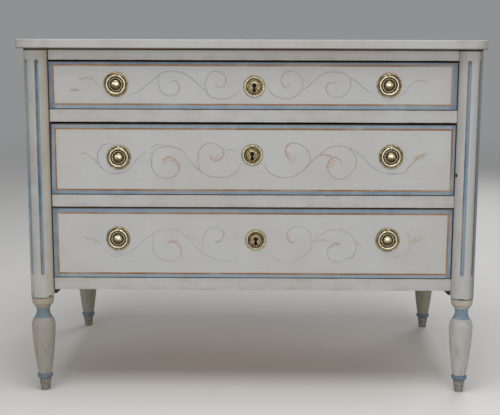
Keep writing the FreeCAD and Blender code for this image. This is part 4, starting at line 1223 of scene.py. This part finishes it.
# The area lights: place, size and colour. The power of each is a setting.
LIGHTS = {
    "key": ((0.4, -4.4, 1.3), (3.0, 1.8), (1.0, 0.995, 0.985)),
    "fill": ((2.6, -2.2, 1.4), (1.8, 1.8), (0.95, 0.97, 1.0)),
    "window": ((-3.2, -3.9, 1.9), (3.4, 1.0), (1.0, 0.99, 0.97)),
    "rear": ((1.6, 3.0, 2.2), (2.0, 2.0), (0.97, 0.98, 1.0)),
    "floor": ((0.0, -0.9, 3.4), (2.2, 2.2), (1.0, 1.0, 1.0)),
}


class COMMODE_OT_stage(bpy.types.Operator):
    """Pale floor, soft lights, and the camera at the photograph's place"""
    bl_idname = "commode.stage"
    bl_label = "Stage"

    def execute(self, context):
        stage = context.scene.commode_stage
        context.scene.view_settings.view_transform = "Standard"
        self.make_floor(stage)
        self.make_world(context, stage)
        for name, (place, size, colour) in LIGHTS.items():
            self.make_light(name + "_light", place, size, getattr(stage, name + "_power"), colour)
        self.make_camera(context, stage)
        return {"FINISHED"}

    def make_floor(self, stage):
        bm = bmesh.new()
        bmesh.ops.create_circle(bm, cap_ends=True, segments=96, radius=30.0)
        mesh = bpy.data.meshes.new("floor")
        bm.to_mesh(mesh)
        bm.free()
        material, graph = new_material("pale_floor")
        place = graph.place()
        cloud = graph.noise(place, 0.6, 4.0, 0.6)
        colour = graph.shaded(tuple(stage.floor), graph.between(cloud, 0.98, 1.02))
        shader = graph.node("ShaderNodeBsdfPrincipled", colour)
        shader.inputs["Roughness"].default_value = 0.65
        glow = graph.node("ShaderNodeEmission", tuple(stage.backdrop), 1.0)
        far = graph.step(graph.vector("LENGTH", place), stage.fade_start, stage.fade_end)
        both = graph.node("ShaderNodeMixShader", far, shader.outputs[0], glow.outputs[0])
        graph.node("ShaderNodeOutputMaterial", both.outputs[0])
        mesh.materials.append(material)
        add_object("floor", mesh)

    def make_world(self, context, stage):
        world = bpy.data.worlds.new("studio")
        context.scene.world = world
        world.use_nodes = True
        world.node_tree.nodes.clear()
        graph = Graph(world.node_tree)
        seen = graph.node("ShaderNodeLightPath").outputs["Is Camera Ray"]
        light = graph.node("ShaderNodeBackground", (0.97, 0.98, 1.0), stage.sky)
        backdrop = graph.node("ShaderNodeBackground", tuple(stage.backdrop), 1.0)
        both = graph.node("ShaderNodeMixShader", seen, light.outputs[0], backdrop.outputs[0])
        graph.node("ShaderNodeOutputWorld", both.outputs[0])

    def make_light(self, name, place, size, power, colour):
        light = bpy.data.lights.new(name, "AREA")
        light.shape = "RECTANGLE"
        light.size, light.size_y = size
        light.energy = power
        light.color = colour
        lamp = bpy.data.objects.new(name, light)
        lamp.location = place
        aim = Vector((0.0, 0.0, 0.5)) - Vector(place)
        lamp.rotation_euler = aim.to_track_quat("-Z", "Y").to_euler()
        bpy.context.collection.objects.link(lamp)

    def make_camera(self, context, stage):
        data = bpy.data.cameras.new("camera")
        data.sensor_fit = "HORIZONTAL"
        data.sensor_width = 36.0
        data.lens = stage.focal_length
        data.clip_end = 100.0
        camera = bpy.data.objects.new("camera", data)
        turn = (Matrix.Rotation(stage.yaw, 4, "Z") @ Matrix.Rotation(math.radians(90) - stage.pitch, 4, "X")
                @ Matrix.Rotation(stage.roll, 4, "Z"))
        place = Vector((stage.camera_x, FACE_Y - stage.camera_distance, CASE_TOP + stage.camera_rise))
        camera.matrix_world = Matrix.Translation(place) @ turn
        context.collection.objects.link(camera)
        context.scene.camera = camera


# The case

def facing(direction, painted, bare):
    """Painted where a face looks along the direction, bare elsewhere."""
    return lambda centre, normal: painted if normal.dot(direction) > 0.5 else bare


FRONT = Vector((0, -1, 0))


# Chips on lower front edges: x, width and height, in millimetres. Taller ones can make the cut fail.
CHIPS = {
    "rail_upper": ((5, 9, 1.8), (87, 7, 1.6), (472, 9, 2.4)),
    "rail_bottom": ((-120, 22, 1.6), (60, 14, 1.5), (222, 26, 1.4)),
    "drawer_1_front": ((-309.5, 11, 2.6), (-300, 7, 1.6)),
    "drawer_2_front": ((-6, 13, 2.0), (8, 16, 2.6), (23, 12, 1.8), (-455, 12, 1.6), (-441, 8, 1.5)),
    "drawer_3_front": ((-478, 14, 3.0), (-462, 13, 2.4), (-121, 17, 2.2)),
}
CHIP_HALF_DEPTH = 1.6


def chips_of(node):
    """The chips of a piece as centres with their half widths, in metres."""
    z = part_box(node)[0].z
    return [((x * MM, FACE_Y, z), (width / 2 * MM, CHIP_HALF_DEPTH * MM, height / 2 * MM))
            for x, width, height in CHIPS.get(node, ())]


class COMMODE_OT_case(bpy.types.Operator):
    """Top board, rails, columns, rear posts and side panels, painted and worn"""
    bl_idname = "commode.case"
    bl_label = "Case"

    def execute(self, context):
        soft = context.scene.commode_paint.softened_edge
        pine_face = workshop.material(bare_pine, "x")
        upright_pine = workshop.material(bare_pine, "z")
        top = workshop.material(top_paint)
        piece = worn_board("top_board", soft * 0.5,
                           lambda centre, normal: pine_face if normal.z < -0.7 else top)
        put(piece, "carcase", "painted_wood", "top_board")
        for node in ("rail_bottom", "rail_lower", "rail_upper", "rail_top"):
            paint = workshop.material(rail_paint, node)
            piece = worn_board(node, soft * 0.6, facing(FRONT, paint, pine_face), chips_of(node))
            put(piece, "carcase", "painted_wood", node)
        side_paint = workshop.material(plain_paint, "z", 0.9)
        for side, outwards in (("left", Vector((-1, 0, 0))), ("right", Vector((1, 0, 0)))):
            column = workshop.material(column_paint, side)
            piece = worn_board("column_front_" + side, 0.45 * MM,
                               lambda centre, normal: upright_pine if abs(normal.x) > 0.9
                               and normal.dot(outwards) < 0 and centre.y > FACE_Y + 0.001 else column)
            put(piece, "carcase", "painted_wood", "column_front_" + side)
            piece = worn_board("post_rear_" + side, soft, lambda centre, normal: side_paint
                               if normal.dot(outwards) > 0.5 or normal.dot(FRONT) > 0.5
                               or centre.z < CASE_LOW else upright_pine)
            put(piece, "carcase", "painted_wood", "post_rear_" + side)
            piece = worn_board("side_panel_" + side, soft, facing(outwards, side_paint, upright_pine))
            put(piece, "carcase", "painted_wood", "side_panel_" + side)
        return {"FINISHED"}


class COMMODE_OT_feet(bpy.types.Operator):
    """The four turned feet"""
    bl_idname = "commode.feet"
    bl_label = "Feet"

    def execute(self, context):
        # The rear feet take the darker rear colour, painted shade under the case.
        tones = {"foot_front_left": "left", "foot_front_right": "right", "foot_rear_left": "rear",
                 "foot_rear_right": "rear"}
        for node, tone in tones.items():
            paint = workshop.material(foot_paint, tone)
            piece = worn_board(node, 0.5 * MM, lambda centre, normal: paint)
            put(piece, "carcase", "painted_wood", node)
        return {"FINISHED"}


class COMMODE_OT_bare_wood(bpy.types.Operator):
    """The unpainted pine: back, runners, blocks and the insides of the drawers"""
    bl_idname = "commode.bare_wood"
    bl_label = "Bare wood"

    def execute(self, context):
        grain = {"rear_rails": "x", "back_boards": "x", "bottom_board": "x", "drawer_runners": "y",
                 "drawer_guides": "y", "kickers": "y", "drawer_stops": "x", "corner_blocks": "y"}
        bodies = {node: "carcase" for node in grain}
        for number in DRAWERS:
            for part, direction in (("side_left", "y"), ("side_right", "y"), ("back", "x"), ("bottom", "x")):
                node = "drawer_%d_%s" % (number, part)
                grain[node] = direction
                bodies[node] = "drawer_%d" % number
        for node, direction in grain.items():
            tone = "smoked" if node == "corner_blocks" else "clean"
            wood = workshop.material(bare_pine, direction, tone)
            piece = worn_board(node, 0.5 * MM, lambda centre, normal: wood)
            put(piece, bodies[node], "bare_pine", node)
        return {"FINISHED"}


class COMMODE_OT_drawer_fronts(bpy.types.Operator):
    """Drawer fronts with their blue border, ochre line and chipped lower edges"""
    bl_idname = "commode.drawer_fronts"
    bl_label = "Drawer fronts"

    def execute(self, context):
        pine_face = workshop.material(bare_pine, "x")
        for number in DRAWERS:
            node = "drawer_%d_front" % number
            paint = workshop.material(drawer_paint, number)
            piece = worn_board(node, 0.25 * MM, facing(FRONT, paint, pine_face), chips_of(node))
            put(piece, "drawer_%d" % number, "painted_wood", node)
        return {"FINISHED"}


class COMMODE_OT_vines(bpy.types.Operator):
    """The scroll vine of each drawer, as painted strokes in low relief"""
    bl_idname = "commode.vines"
    bl_label = "Vines"

    def execute(self, context):
        vine = context.scene.commode_vine
        for number in DRAWERS:
            piece = grown(self.draw_strokes(number), workshop.group(stroke_tree), Rise=vine.rise,
                          Material=workshop.material(vine_paint, number))
            low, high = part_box("drawer_%d_front" % number)
            piece.data.transform(on_drawer(0.0, (low.z + high.z) / 2))
            put(piece, "drawer_%d" % number, "painted_wood")
        return {"FINISHED"}

    def draw_strokes(self, number):
        """All strokes of a drawer as flat chains of points, each with its half width and tint."""
        places, links, breadths, tints = [], [], [], []
        for width, *traced in VINES[number]:
            corners = [Vector((place[0], place[1], *(place[2] if len(place) > 2 else (0.0, 0.0, 0.0))))
                       for place in traced]
            way = smooth_way(corners, 6)
            first = len(places)
            for index, point in enumerate(way):
                from_end = min(index, len(way) - 1 - index) / (len(way) - 1)
                places.append((point[0] * MM, point[1] * MM, 0.0))
                half_width = width * (BRUSH_SHARE + ROSE_SHARE * point[2])
                breadths.append(half_width * MM * min(1.0, 0.25 + 8 * from_end))
                tints += [point[2], point[3], point[4]]
            links += [(index, index + 1) for index in range(first, len(places) - 1)]
        mesh = bpy.data.meshes.new("drawer_%d_vine" % number)
        mesh.from_pydata(places, links, [])
        mesh.attributes.new("breadth", "FLOAT", "POINT").data.foreach_set("value", breadths)
        mesh.attributes.new("tint", "FLOAT_VECTOR", "POINT").data.foreach_set("vector", tints)
        return add_object(mesh.name, mesh)


# Brass

def pull_centres(number):
    """Centres of the two pulls of a drawer, on its face."""
    brass = bpy.context.scene.commode_brass
    centres = []
    for side in SIDES:
        hinge = HINGES["ring_%d_%s_hinge" % (number, side)]
        centres.append((hinge.x, hinge.z - brass.ring_radius))
    return centres


def bead_ring(name, matrix, **sizes):
    """A circle of beads or ribs, turned into plain mesh and laid in place."""
    seed = add_object(name, bpy.data.meshes.new(name))
    piece = grown(seed, workshop.group(circle_of_tree), Material=workshop.material(aged_brass), **sizes)
    piece.data.transform(matrix)
    layer = piece.data.attributes.new("hollow", "FLOAT", "POINT")
    layer.data.foreach_set("value", [0.04] * len(piece.data.vertices))
    return piece


class COMMODE_OT_pull_plates(bpy.types.Operator):
    """Round back plates with a moulded rim, a circle of beads, and the eye of the ring"""
    bl_idname = "commode.pull_plates"
    bl_label = "Pull plates"

    def execute(self, context):
        brass = context.scene.commode_brass
        material = workshop.material(aged_brass)
        profile = [(2.65, 0.0, 1.0), (29.6, 0.0, 0.8), (29.9, 0.5, 0.6)]
        profile += swell((29.8, 1.3), (27.1, 1.7), 1.15, 8, 0.34)
        profile += [(26.6, 1.3, 0.9), (26.1, 1.5, 0.4), (25.5, 1.9, 0.08), (24.9, 1.6, 0.3),
                    (24.3, 1.25, 0.7), (21.4, 1.1, 1.0), (18.6, 1.25, 1.0), (17.9, 1.7, 0.9),
                    (17.5, 2.6, 0.5), (17.1, 3.0, 0.3), (16.7, 2.9, 0.8), (15.1, 2.6, 1.0),
                    (13.5, 2.9, 0.9), (13.1, 3.0, 0.7), (12.8, 2.6, 1.0), (2.65, 2.6, 1.0)]
        for number in DRAWERS:
            pieces = []
            for side, (x, z) in zip(SIDES, pull_centres(number)):
                matrix = on_drawer(x, z)
                bm = bmesh.new()
                lathe(bm, metres(profile), 96, matrix, closed=True)
                self.add_eye(bm, brass, matrix)
                pieces.append(solid_piece("drawer_%d_plate_%s" % (number, side), bm, material))
                radius = brass.bead_radius
                pieces.append(bead_ring("beads", matrix, Count=brass.bead_count, Slant=0.0, Lift=3.0 * MM,
                                        Circle_radius=brass.bead_circle, Half_length=radius,
                                        Half_width=radius, Half_height=radius))
            piece = joined(*pieces)
            piece.name = "drawer_%d_plates" % number
            put(piece, "drawer_%d" % number, "brass", "drawer_%d_pull_plates" % number)
        return {"FINISHED"}

    def add_eye(self, bm, brass, matrix):
        """The lug that holds the pin of the ring, and the leaf over it."""
        across = Matrix.Rotation(math.radians(90), 4, "Y")
        barrel = [(1.6, -3.5, 0.7), (2.7, -3.5, 0.4), (3.2, -3.0, 0.1), (3.0, -1.6, 0.5), (3.3, 0.0, 0.05),
                  (3.0, 1.6, 0.5), (3.2, 3.0, 0.1), (2.7, 3.5, 0.4), (1.6, 3.5, 0.7)]
        place = matrix @ Matrix.Translation((0, brass.ring_radius, brass.stand_off)) @ across
        lathe(bm, metres(barrel), 32, place, closed=True)
        leaf = metres([(0.0, -2.2, 0.5)] + swell((0.6, -2.1), (2.4, 0.0), 0.5, 5, 0.2)
                      + swell((2.4, 0.0), (0.0, 7.2), 0.55, 9, 0.1)[1:])
        stretch = Matrix.Diagonal((1.1, 1.0, 1.0, 1.0))
        place = (matrix @ Matrix.Translation((0, brass.ring_radius + 0.2 * MM, 1.6 * MM)) @ stretch
                 @ Matrix.Rotation(math.radians(-90), 4, "X"))
        lathe(bm, leaf, 20, place)
        neck = metres([(0.0, 0.4, 0.9), (3.1, 0.4, 0.9), (2.6, 2.2, 0.6), (0.0, 2.8, 0.6)])
        lathe(bm, neck, 24, matrix @ Matrix.Translation((0, brass.ring_radius, 0)))


class COMMODE_OT_pull_rings(bpy.types.Operator):
    """The six rings, each on its own pin"""
    bl_idname = "commode.pull_rings"
    bl_label = "Pull rings"

    def execute(self, context):
        for number in DRAWERS:
            for side, (x, z) in zip(SIDES, pull_centres(number)):
                piece = self.make_ring(context.scene.commode_brass, number, side, x, z)
                put(piece, "ring_%d_%s" % (number, side), "brass", "drawer_%d_ring_%s" % (number, side))
        return {"FINISHED"}

    def make_ring(self, brass, number, side, x, z):
        """An open ring whose bar is a little uneven, with a round pin across its gap."""
        bm = bmesh.new()
        layer = bm.verts.layers.float.new("hollow")
        matrix = on_drawer(x, z) @ Matrix.Translation((0, 0, brass.stand_off))
        around, along = 20, 150
        half_gap = 4.2 * MM
        opening = math.asin(half_gap / brass.ring_radius)
        shift = Vector((number * 3.1, 0.0 if side == "left" else 7.7, 0.0))
        rings = []
        for step in range(along + 1):
            angle = math.radians(90) + opening + (2 * math.pi - 2 * opening) * step / along
            middle = Vector((math.cos(angle), math.sin(angle), 0.0))
            uneven = 1 + 0.045 * noise.noise(middle * 5.0 + shift)
            end_share = min(step, along - step) / 3
            radius = brass.bar_radius * uneven * min(1.0, 0.8 + 0.2 * end_share)
            ring = []
            for index in range(around):
                tilt = 2 * math.pi * index / around
                out, up = math.cos(tilt), math.sin(tilt)
                vertex = bm.verts.new(matrix @ (middle * (brass.ring_radius + radius * out)
                                                + Vector((0, 0, radius * up))))
                vertex[layer] = 0.05 if up > -0.2 else 0.05 + 0.8 * min(1.0, -up)
                ring.append(vertex)
            rings.append(ring)
        for first, second in zip(rings, rings[1:]):
            for index in range(around):
                after = (index + 1) % around
                bm.faces.new((first[index], first[after], second[after], second[index]))
        for ring in (rings[0], rings[-1]):
            bm.faces.new(ring)
        pin = metres([(0.0, -4.9, 0.5), (1.5, -4.9, 0.5), (1.5, 4.9, 0.5), (0.0, 4.9, 0.5)])
        lathe(bm, pin, 20, matrix @ Matrix.Translation((0, brass.ring_radius, 0))
              @ Matrix.Rotation(math.radians(90), 4, "Y"))
        return solid_piece("drawer_%d_pull_ring_%s" % (number, side), bm, workshop.material(aged_brass))


# The dome of a stud: its radius, its rise and its base over the drawer face, in millimetres
DOME = (11.3, 5.1, 5.4)


class COMMODE_OT_pull_studs(bpy.types.Operator):
    """Domed bosses, their threads and the nuts inside the drawers"""
    bl_idname = "commode.pull_studs"
    bl_label = "Pull studs"

    def execute(self, context):
        radius, rise, base = DOME
        dome = [(0.0, -33.0, 0.6), (2.2, -33.0, 0.6), (2.5, -32.6, 0.5), (2.5, 2.6, 0.8), (9.6, 2.6, 1.0),
                (9.6, 3.9, 0.9), (11.2, 4.0, 0.5), (11.8, 4.4, 0.25), (11.9, 4.9, 0.1), (11.6, 5.4, 0.2)]
        for step in range(1, 15):
            share = math.radians(90) * step / 14
            dome.append((radius * math.cos(share), base + rise * math.sin(share), 0.0))
        dome[-1] = (0.0, dome[-1][1], 0.0)
        for number in DRAWERS:
            bm = bmesh.new()
            for x, z in pull_centres(number):
                matrix = on_drawer(x, z)
                lathe(bm, metres(dome), 64, matrix)
                self.tarnish_edge_and_paint_reflection(bm, x, z)
                nut = metres([(2.55, -28.0, 0.6), (4.9, -28.0, 0.6), (5.77, -27.5, 0.3), (5.77, -24.5, 0.3),
                              (4.9, -24.0, 0.6), (2.55, -24.0, 0.6)])
                lathe(bm, nut, 6, matrix, closed=True)
            piece = solid_piece("drawer_%d_studs" % number, bm, workshop.material(aged_brass))
            put(piece, "drawer_%d" % number, "brass", "drawer_%d_pull_studs" % number)
        return {"FINISHED"}

    def tarnish_edge_and_paint_reflection(self, bm, x, z):
        """Browner brass round the edge of a dome, and a duller, darker lower half as a painted reflection of
        the floor.
        """
        radius, _, base = DOME
        layer = bm.verts.layers.float["hollow"]
        for vertex in bm.verts:
            across, up = (vertex.co.x - x) / (radius * MM), (vertex.co.z - z) / (radius * MM)
            out = math.hypot(across, up)
            if vertex.co.y < FACE_Y - base * MM and out < 1.1:
                # Painted reflection: the lower half of a dome is duller and darker, as if it mirrored a dark
                # floor.
                below = min(1.0, max(0.0, 0.25 - 1.5 * up))
                vertex[layer] = min(0.75, max(0.62 * below, 0.8 * out ** 4))


class COMMODE_OT_escutcheons(bpy.types.Operator):
    """Round escutcheons with slanting ribs on the rim, and their keyholes"""
    bl_idname = "commode.escutcheons"
    bl_label = "Escutcheons"

    def execute(self, context):
        brass = context.scene.commode_brass
        profile = [(0.0, 0.0, 0.9), (26.2, 0.0, 0.9), (26.4, 0.4, 0.7), (26.3, 0.9, 0.5)]
        profile += swell((26.0, 1.1), (19.4, 1.5), 0.9, 10, 0.45)
        profile += [(19.0, 1.1, 1.0), (17.7, 1.1, 1.0)]
        profile += swell((17.5, 1.4), (13.9, 1.5), 1.7, 10, 0.25)
        profile += [(13.6, 1.3, 1.0), (13.1, 1.3, 1.0), (13.0, 2.0, 0.8), (12.9, 3.6, 0.5)]
        profile += swell((12.8, 3.9), (11.2, 4.8), 0.4, 5, 0.35)
        profile += [(8.0, 5.0, 0.55), (0.0, 5.0, 0.55)]
        for number in DRAWERS:
            low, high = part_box("drawer_%d_escutcheon" % number)
            x, z = (low.x + high.x) / 2, (low.z + high.z) / 2
            matrix = on_drawer(x, z)
            bm = bmesh.new()
            lathe(bm, metres(profile), 96, matrix)
            plate = solid_piece("drawer_%d_escutcheon_plate" % number, bm, workshop.material(aged_brass))
            cutter = self.make_keyhole(brass, matrix)
            cut = plate.modifiers.new("keyhole", "BOOLEAN")
            cut.object = cutter
            cut.operation = "DIFFERENCE"
            cut.solver = "EXACT"
            applied(plate)
            bpy.data.objects.remove(cutter)
            ribs = bead_ring("ribs", matrix, Count=brass.rib_count, Circle_radius=22.7 * MM,
                             Half_length=3.5 * MM, Half_width=1.05 * MM, Half_height=0.55 * MM,
                             Slant=math.radians(28), Lift=2.05 * MM)
            piece = joined(plate, ribs, self.make_pins(number, matrix))
            put(piece, "drawer_%d" % number, "brass", "drawer_%d_escutcheon" % number)
        return {"FINISHED"}

    def make_pins(self, number, matrix):
        """The two small pins that hold the plate, above and below its middle."""
        bm = bmesh.new()
        head = metres([(0.0, 1.0, 0.6), (1.5, 1.0, 0.6), (1.5, 2.5, 0.2)]
                      + swell((1.5, 2.6), (0.0, 3.3), 0.25, 5)[1:])
        for rise in (22.6, -22.6):
            lathe(bm, head, 16, matrix @ Matrix.Translation((0.0, rise * MM, 0.0)))
        return solid_piece("drawer_%d_pins" % number, bm, workshop.material(aged_brass))

    def make_keyhole(self, brass, matrix):
        """The keyhole as a cutter: a round hole over a slot that widens to a round foot."""
        leave = math.radians(63)
        outline = []
        for step in range(33):
            angle = -leave + (math.radians(180) + 2 * leave) * step / 32
            outline.append((brass.keyhole_radius * math.cos(angle),
                            brass.keyhole_rise + brass.keyhole_radius * math.sin(angle)))
        foot_y = brass.keyhole_rise - brass.keyhole_drop
        for step in range(17):
            angle = math.radians(180) + math.radians(180) * step / 16
            outline.append((brass.keyhole_foot * math.cos(angle),
                            foot_y + brass.keyhole_foot * math.sin(angle)))
        bm = bmesh.new()
        sheets = [[bm.verts.new(matrix @ Vector((x, y, height * MM))) for x, y in outline]
                  for height in (-2.0, 8.0)]
        bm.faces.new(sheets[0])
        bm.faces.new(sheets[1])
        for index in range(len(outline)):
            after = (index + 1) % len(outline)
            bm.faces.new((sheets[0][index], sheets[0][after], sheets[1][after], sheets[1][index]))
        return solid_piece("keyhole", bm, workshop.material(aged_brass))


class COMMODE_OT_iron(bpy.types.Operator):
    """Locks, bolts and the screws of the top"""
    bl_idname = "commode.iron"
    bl_label = "Iron"

    def execute(self, context):
        iron = workshop.material(forged_iron)
        nodes = {"top_screws": "carcase"}
        for number in DRAWERS:
            nodes["drawer_%d_lock_case" % number] = "drawer_%d" % number
            nodes["drawer_%d_lock_bolt" % number] = "bolt_%d" % number
        for node, body in nodes.items():
            piece = worn_board(node, 0.3 * MM, lambda centre, normal: iron)
            put(piece, body, "iron", node)
        return {"FINISHED"}


SETTINGS = (PaintSettings, ColumnSettings, FootSettings, BrassSettings, VineSettings, StageSettings)
SETTING_NAMES = ("commode_paint", "commode_column", "commode_foot", "commode_brass", "commode_vine",
                 "commode_stage")
OPERATORS = (COMMODE_OT_stage, COMMODE_OT_case, COMMODE_OT_feet, COMMODE_OT_bare_wood,
             COMMODE_OT_drawer_fronts, COMMODE_OT_vines, COMMODE_OT_pull_plates, COMMODE_OT_pull_rings,
             COMMODE_OT_pull_studs, COMMODE_OT_escutcheons, COMMODE_OT_iron)


class COMMODE_PT_panel(bpy.types.Panel):
    """Lists the steps that dress the commode"""
    bl_idname = "COMMODE_PT_panel"
    bl_label = "Painted Commode"
    bl_space_type = "VIEW_3D"
    bl_region_type = "UI"
    bl_category = "Commode"

    def draw(self, context):
        for operator in OPERATORS:
            self.layout.operator(operator.bl_idname)
        for name, settings in zip(SETTING_NAMES, SETTINGS):
            box = self.layout.box()
            box.label(text=settings.__doc__)
            for key in settings.__annotations__:
                box.prop(getattr(context.scene, name), key)


def register():
    for name, settings in zip(SETTING_NAMES, SETTINGS):
        bpy.utils.register_class(settings)
        setattr(bpy.types.Scene, name, PointerProperty(type=settings))
    for operator in OPERATORS:
        bpy.utils.register_class(operator)
    bpy.utils.register_class(COMMODE_PT_panel)


def unregister():
    bpy.utils.unregister_class(COMMODE_PT_panel)
    for operator in reversed(OPERATORS):
        bpy.utils.unregister_class(operator)
    for name, settings in zip(reversed(SETTING_NAMES), reversed(SETTINGS)):
        delattr(bpy.types.Scene, name)
        bpy.utils.unregister_class(settings)


def corners(bounds):
    return [list(corner) for corner in bounds]


def main():
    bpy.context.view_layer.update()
    register()
    for operator in OPERATORS:
        group, name = operator.bl_idname.split(".")
        getattr(getattr(bpy.ops, group), name)()


if __name__ == "__main__":
    main()
